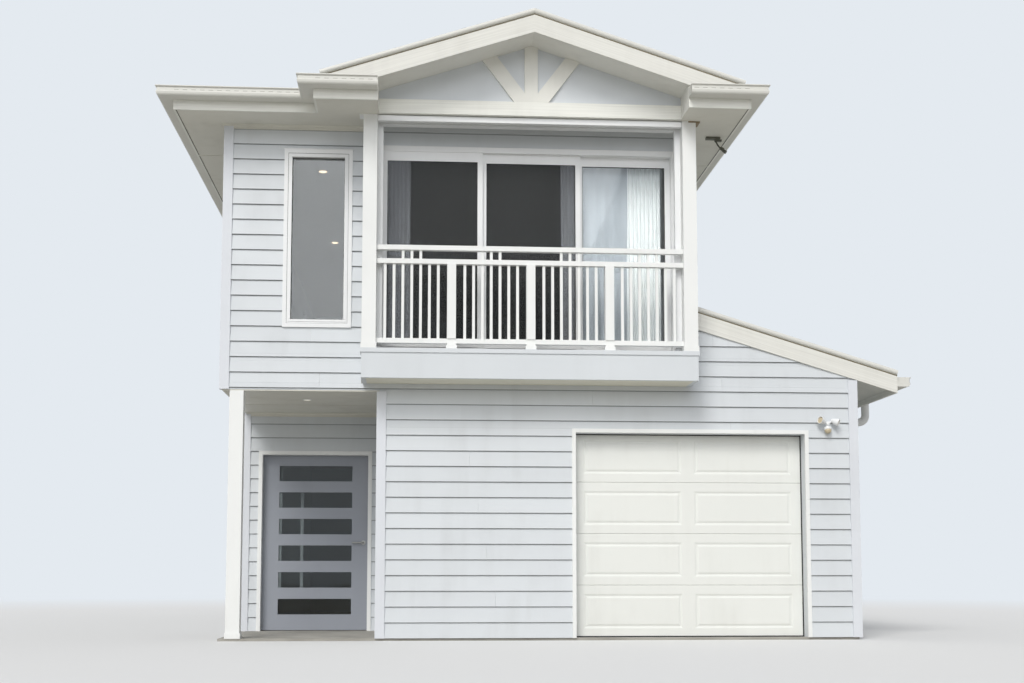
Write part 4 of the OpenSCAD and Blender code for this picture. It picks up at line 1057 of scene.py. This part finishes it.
flood = np.array([right_x - 0.307, front_y, floor_z + 2.22])
shells = [turned([(POLE, 0.0), (0.020, 0.0), (0.020, 0.030), (0.012, 0.036), (POLE, 0.036)],
                 flood + (0.0, -0.038, 0.004), 20, (0.0, -1.0, 0.15))]
lenses = []
for knee, aim in (((-0.040, -0.066, 0.024), (-0.80, -0.52, 0.24)),
                  ((0.048, -0.066, 0.036), (0.80, -0.44, -0.34))):
    knee, root = flood + knee, flood + (0.0, -0.060, 0.006)
    shells.append(round_bar(root + (knee - root) * np.linspace(0, 1, 7)[:, None], 0.0095, 12))
    shells.append(turned([(POLE, -0.018), (0.012, -0.016), (0.020, -0.006), (0.029, 0.018),
                          (0.038, 0.052), (0.040, 0.070), (0.0365, 0.070), (0.034, 0.054),
                          (POLE, 0.050)], knee, axis=aim))
    lenses.append(turned([(POLE, 0.0505), (0.0335, 0.0505), (0.0335, 0.058), (POLE, 0.061)],
                         knee, axis=aim))
sensor, down = flood + (0.0, -0.045, -0.020), (0.0, -0.35, -1.0)
shells.append(turned([(POLE, 0.0), (0.018, 0.0), (0.026, 0.012), (0.040, 0.020), (0.040, 0.038),
                      (0.036, 0.044), (POLE, 0.044)], sensor, axis=down))
lenses.append(turned([(POLE, 0.0435), (0.0355, 0.0435), (0.034, 0.060), (0.024, 0.074),
                      (POLE, 0.080)], sensor, axis=down))

eave = np.array([upper_x + 0.29, front_y + 0.05, eave_z])
bracket = boxes([[eave + (-0.075, -0.030, -0.026), eave + (0.075, 0.030, 0.0)],
                 [eave + (0.020, -0.022, -0.046), eave + (0.092, 0.022, -0.026)]], 0.003)
arm = np.array([(0.030, 0.0, -0.040), (0.052, 0.0, -0.085), (0.085, 0.0, -0.125),
                (0.125, 0.0, -0.152)])
bracket.append(round_bar(eave + arm, 0.009, 12))
for at in (arm[2] + (0.012, 0.0, 0.0), arm[3]):
    bracket.append(turned([(POLE, -0.022), (0.016, -0.022), (0.019, 0.0), (0.019, 0.020),
                           (POLE, 0.020)], eave + at, 20, (0.72, -0.35, -0.60)))

porch_light = np.array([left_x + 0.813, front_y + 0.72, lining_z])
ring = turned([(0.037, -0.006), (0.048, -0.005), (0.050, 0.0), (0.037, 0.0)], porch_light, 36)
disc = turned([(POLE, -0.0045), (0.036, -0.004), (0.037, 0.0), (POLE, 0.0)], porch_light, 36)
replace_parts(make("floodlight", shells, metal_m), "light_fittings")
make("floodlight_lenses", lenses, amber_m)
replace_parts(make("eave_light", bracket, bronze_m), "light_fittings")
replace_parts(make("porch_light_ring", [ring], metal_m), "light_fittings")
make("porch_light_lens", [disc], cool_lens_m)
blind = [[(balcony_left + post_w + 0.004, balcony_y + 0.014, beam_z - 0.068),
          (upper_x - post_w - 0.004, balcony_y + 0.074, beam_z - 0.008)]]
make("blind_bar", boxes(blind, 0.004), metal_m)


# ---- garage door
def spread(edges, n, width):
    """Rising values from the first edge to the last, with n more close about each inner one."""
    near = [e + width * np.linspace(-0.5, 0.5, n) for e in edges[1:-1]]
    return np.unique(np.concatenate([[edges[0], edges[-1]], *near]))


def door_section(x0, x1, z0, z1, y, thick, panels, inset, groove=0.050, deep=0.0062):
    """One section of the garage door, with pressed outlines.

    Depth = deep * cos(pi * d / groove) ^ 2 within half a groove of an outline, where d is the
    distance to it, and the top and bottom edges roll back by 5 mm.
    """
    rounded = 0.006
    x = spread([x0] + [e for q in panels for e in q] + [x1], 9, groove)
    z = spread([z0, z0 + inset, z1 - inset, z1], 9, groove)
    z = np.unique(np.concatenate([z, z0 + rounded * np.linspace(0, 1, 4),
                                  z1 - rounded * np.linspace(0, 1, 4)]))
    xx, zz = x[:, None], z[None]
    sunk = np.zeros((len(x), len(z)))
    for a, b in panels:
        out = np.maximum(np.abs(xx - (a + b) / 2) - (b - a) / 2,
                         np.abs(zz - (z0 + z1) / 2) - (z1 - z0) / 2 + inset)
        sunk = np.maximum(sunk, deep * np.cos(np.pi * np.clip(out / groove, -0.5, 0.5)) ** 2)
    edge = np.clip(np.minimum(zz - z0, z1 - zz) / rounded, 0, 1)
    back_off = 0.005 * (1 - np.sqrt(np.clip(1 - (1 - edge) ** 2, 0, 1)))
    front = np.stack([xx + 0 * zz, y + sunk + back_off, zz + 0 * xx], -1)
    back = np.stack([np.stack([x, 0 * x + y + thick, 0 * x + q], -1) for q in (z1, z0)], 1)
    return tube(np.concatenate([front, back], 1))


sheet_lo, sheet_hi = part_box("garage_door")
section_h, joint = (sheet_hi.z - sheet_lo.z) / 4, 0.0008
pressed = [(door_w0 + 0.120, door_w0 + 1.115), (door_w0 + 1.292, door_w0 + 2.288)]
sections = [door_section(sheet_lo.x, sheet_hi.x, sheet_lo.z + i * section_h + joint,
                         sheet_lo.z + (i + 1) * section_h - joint, sheet_lo.y + 0.002, 0.044,
                         pressed, 0.112) for i in range(4)]
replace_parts(make("garage_door_sections", sections, door_m), "garage_door")


# ---- curtains
def curtain(name, x0, x1, folds, deep, material, seed):
    """A gathered curtain behind the sliding door, x0 and x1 measured from its opening.

    Across it, y = middle + deep * sin(2 pi * folds * u + drift(z)), and the folds widen a
    little and wander sideways towards the foot.
    """
    r = np.random.default_rng(seed)
    n, m = folds * 14 + 1, 31
    u = np.linspace(0, 1, n)[:, None]
    v = np.linspace(0, 1, m)[None]
    x0, x1 = SLIDER[0] + x0, SLIDER[0] + x1
    z1, z0 = upper_z + 2.31, upper_z + 0.02
    warp = u + 0.35 / folds * np.sin(2 * math.pi * (u * 1.7 + r.random())) * v
    swing = sum(a * np.sin(2 * math.pi * (f * u + g * v + r.random()))
                for a, f, g in ((0.5, 1.0, 0.4), (0.35, 2.0, 0.7)))
    y = front_y + wall_t + 0.038 + deep * (0.75 + 0.25 * v) * np.sin(
        2 * math.pi * folds * warp + swing * v)
    x = x0 + (x1 - x0) * (u + 0.006 * np.sin(4 * math.pi * folds * u + swing) * v)
    p = np.stack([x + 0 * v, y, z1 + (z0 - z1) * v + 0 * u], -1)
    piece = make(name, [(p, grid_faces(n, m))], material, smooth=True)
    flat = np.linalg.norm(np.diff(p[:, m // 2], axis=0), axis=1)
    run = np.concatenate([[0], np.cumsum(flat)])
    uv = piece.data.uv_layers.new(name="UVMap")
    at = np.empty(len(piece.data.loops), int)
    piece.data.loops.foreach_get("vertex_index", at)
    uv.data.foreach_set("uv", np.stack([run[at // m], (at % m) / (m - 1) * (z1 - z0)],
                                       -1).astype(np.float32).ravel())
    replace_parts(piece, "curtains")


curtain("curtain_left", 0.08, 0.325, 6, 0.026, grey_cloth_glow_m, 3)
curtain("curtain_middle", 1.925, 2.075, 4, 0.026, grey_cloth_glow_m, 5)
curtain("curtain_right", 2.62, 3.00, 9, 0.022, sheer_m, 8)
curtain("curtain_sheer", 2.09, 2.66, 5, 0.006, haze_m, 11)


# ---- stage, light and camera
PALE = shade(228, 234, 240)


def stage_floor():
    """A pale floor that fades to the white surround, and throws back little light."""
    mesh = bpy.data.meshes.new("floor")
    r = 90.0
    mesh.from_pydata([(-r, -r, 0), (r, -r, 0), (r, r, 0), (-r, r, 0)], [], [(0, 1, 2, 3)])
    floor = add("floor", mesh)
    m, net, bsdf, where = finish("floor")
    net.feed(bsdf, {"Base Color": (0.80, 0.80, 0.80, 1), "Roughness": 0.9,
                    "Specular IOR Level": 0.1})
    away = net.put("VectorMath", {0: where}, out="Value", operation="LENGTH")
    seen = net.put("LightPath", out="Is Camera Ray")
    white = net.put("Emission", {"Color": PALE, "Strength": 1.0})
    dim = net.put("BsdfDiffuse", {"Color": (0.46, 0.45, 0.415, 1)})
    near = net.put("MixShader", {0: seen, 1: dim, 2: bsdf.outputs[0]})
    fade = net.times(net.between(away, 11.0, 24.0), seen)
    net.tree.links.new(net.put("MixShader", {0: fade, 1: near, 2: white}), surface_of(m))
    mesh.materials.append(m)


def surround():
    """Even soft light from all round, which the camera, gloss and glass see as white."""
    world = bpy.data.worlds.new("surround")
    bpy.context.scene.world = world
    world.use_nodes = True
    net = Net(world.node_tree)
    net.tree.nodes.clear()
    paths = net.put("LightPath", out=None).outputs
    seen = net.math("MAXIMUM", net.math("MAXIMUM", paths["Is Camera Ray"],
                                        paths["Is Glossy Ray"]), paths["Is Transmission Ray"])
    soft = net.put("Background", {"Color": (0.95, 0.97, 1.0, 1), "Strength": 0.53})
    white = net.put("Background", {"Color": PALE, "Strength": 1.0})
    net.put("OutputWorld", {"Surface": net.put("MixShader", {0: seen, 1: soft, 2: white})}, None)


def lamp(name, energy, spread, way, colour):
    """A broad, soft lamp shining along way from far off."""
    light = bpy.data.lights.new(name, "SUN")
    light.energy, light.angle, light.color = energy, math.radians(spread), colour
    o = add(name, light)
    o.rotation_euler = Vector(way).to_track_quat("-Z", "Y").to_euler()
    return o


def camera():
    """The photograph's place and lens, from a fit of its measured points."""
    place = (-1.3385, -19.8582, 0.6559)
    yaw, tilt, roll = 0.0705, 0.0945, 0.0002
    focal, centre, width, height, film_w = 1394.82, 443.90, 1024, 683, 36
    forward = Vector((math.sin(yaw) * math.cos(tilt), math.cos(yaw) * math.cos(tilt),
                      math.sin(tilt)))
    right = Vector((math.cos(yaw), -math.sin(yaw), 0))
    up = right.cross(forward)
    r = math.cos(roll) * right + math.sin(roll) * up
    u = math.cos(roll) * up - math.sin(roll) * right
    cam = bpy.data.cameras.new("camera")
    cam.sensor_fit, cam.sensor_width = "HORIZONTAL", film_w
    cam.lens = focal / width * film_w
    cam.shift_y = (centre - height / 2) / width
    o = add("camera", cam)
    o.rotation_euler = Matrix((r, u, -forward)).transposed().to_euler()
    o.location = place
    bpy.context.scene.camera = o


stage_floor()
surround()
lamp("key", 1.60, 22, (0.42, 1.0, -0.95), (1.0, 0.985, 0.95))
lamp("fill", 0.70, 30, (0.12, 1.0, -0.36), (0.98, 0.99, 1.0)).visible_glossy = False
camera()
bpy.context.scene.view_settings.view_transform = "Standard"
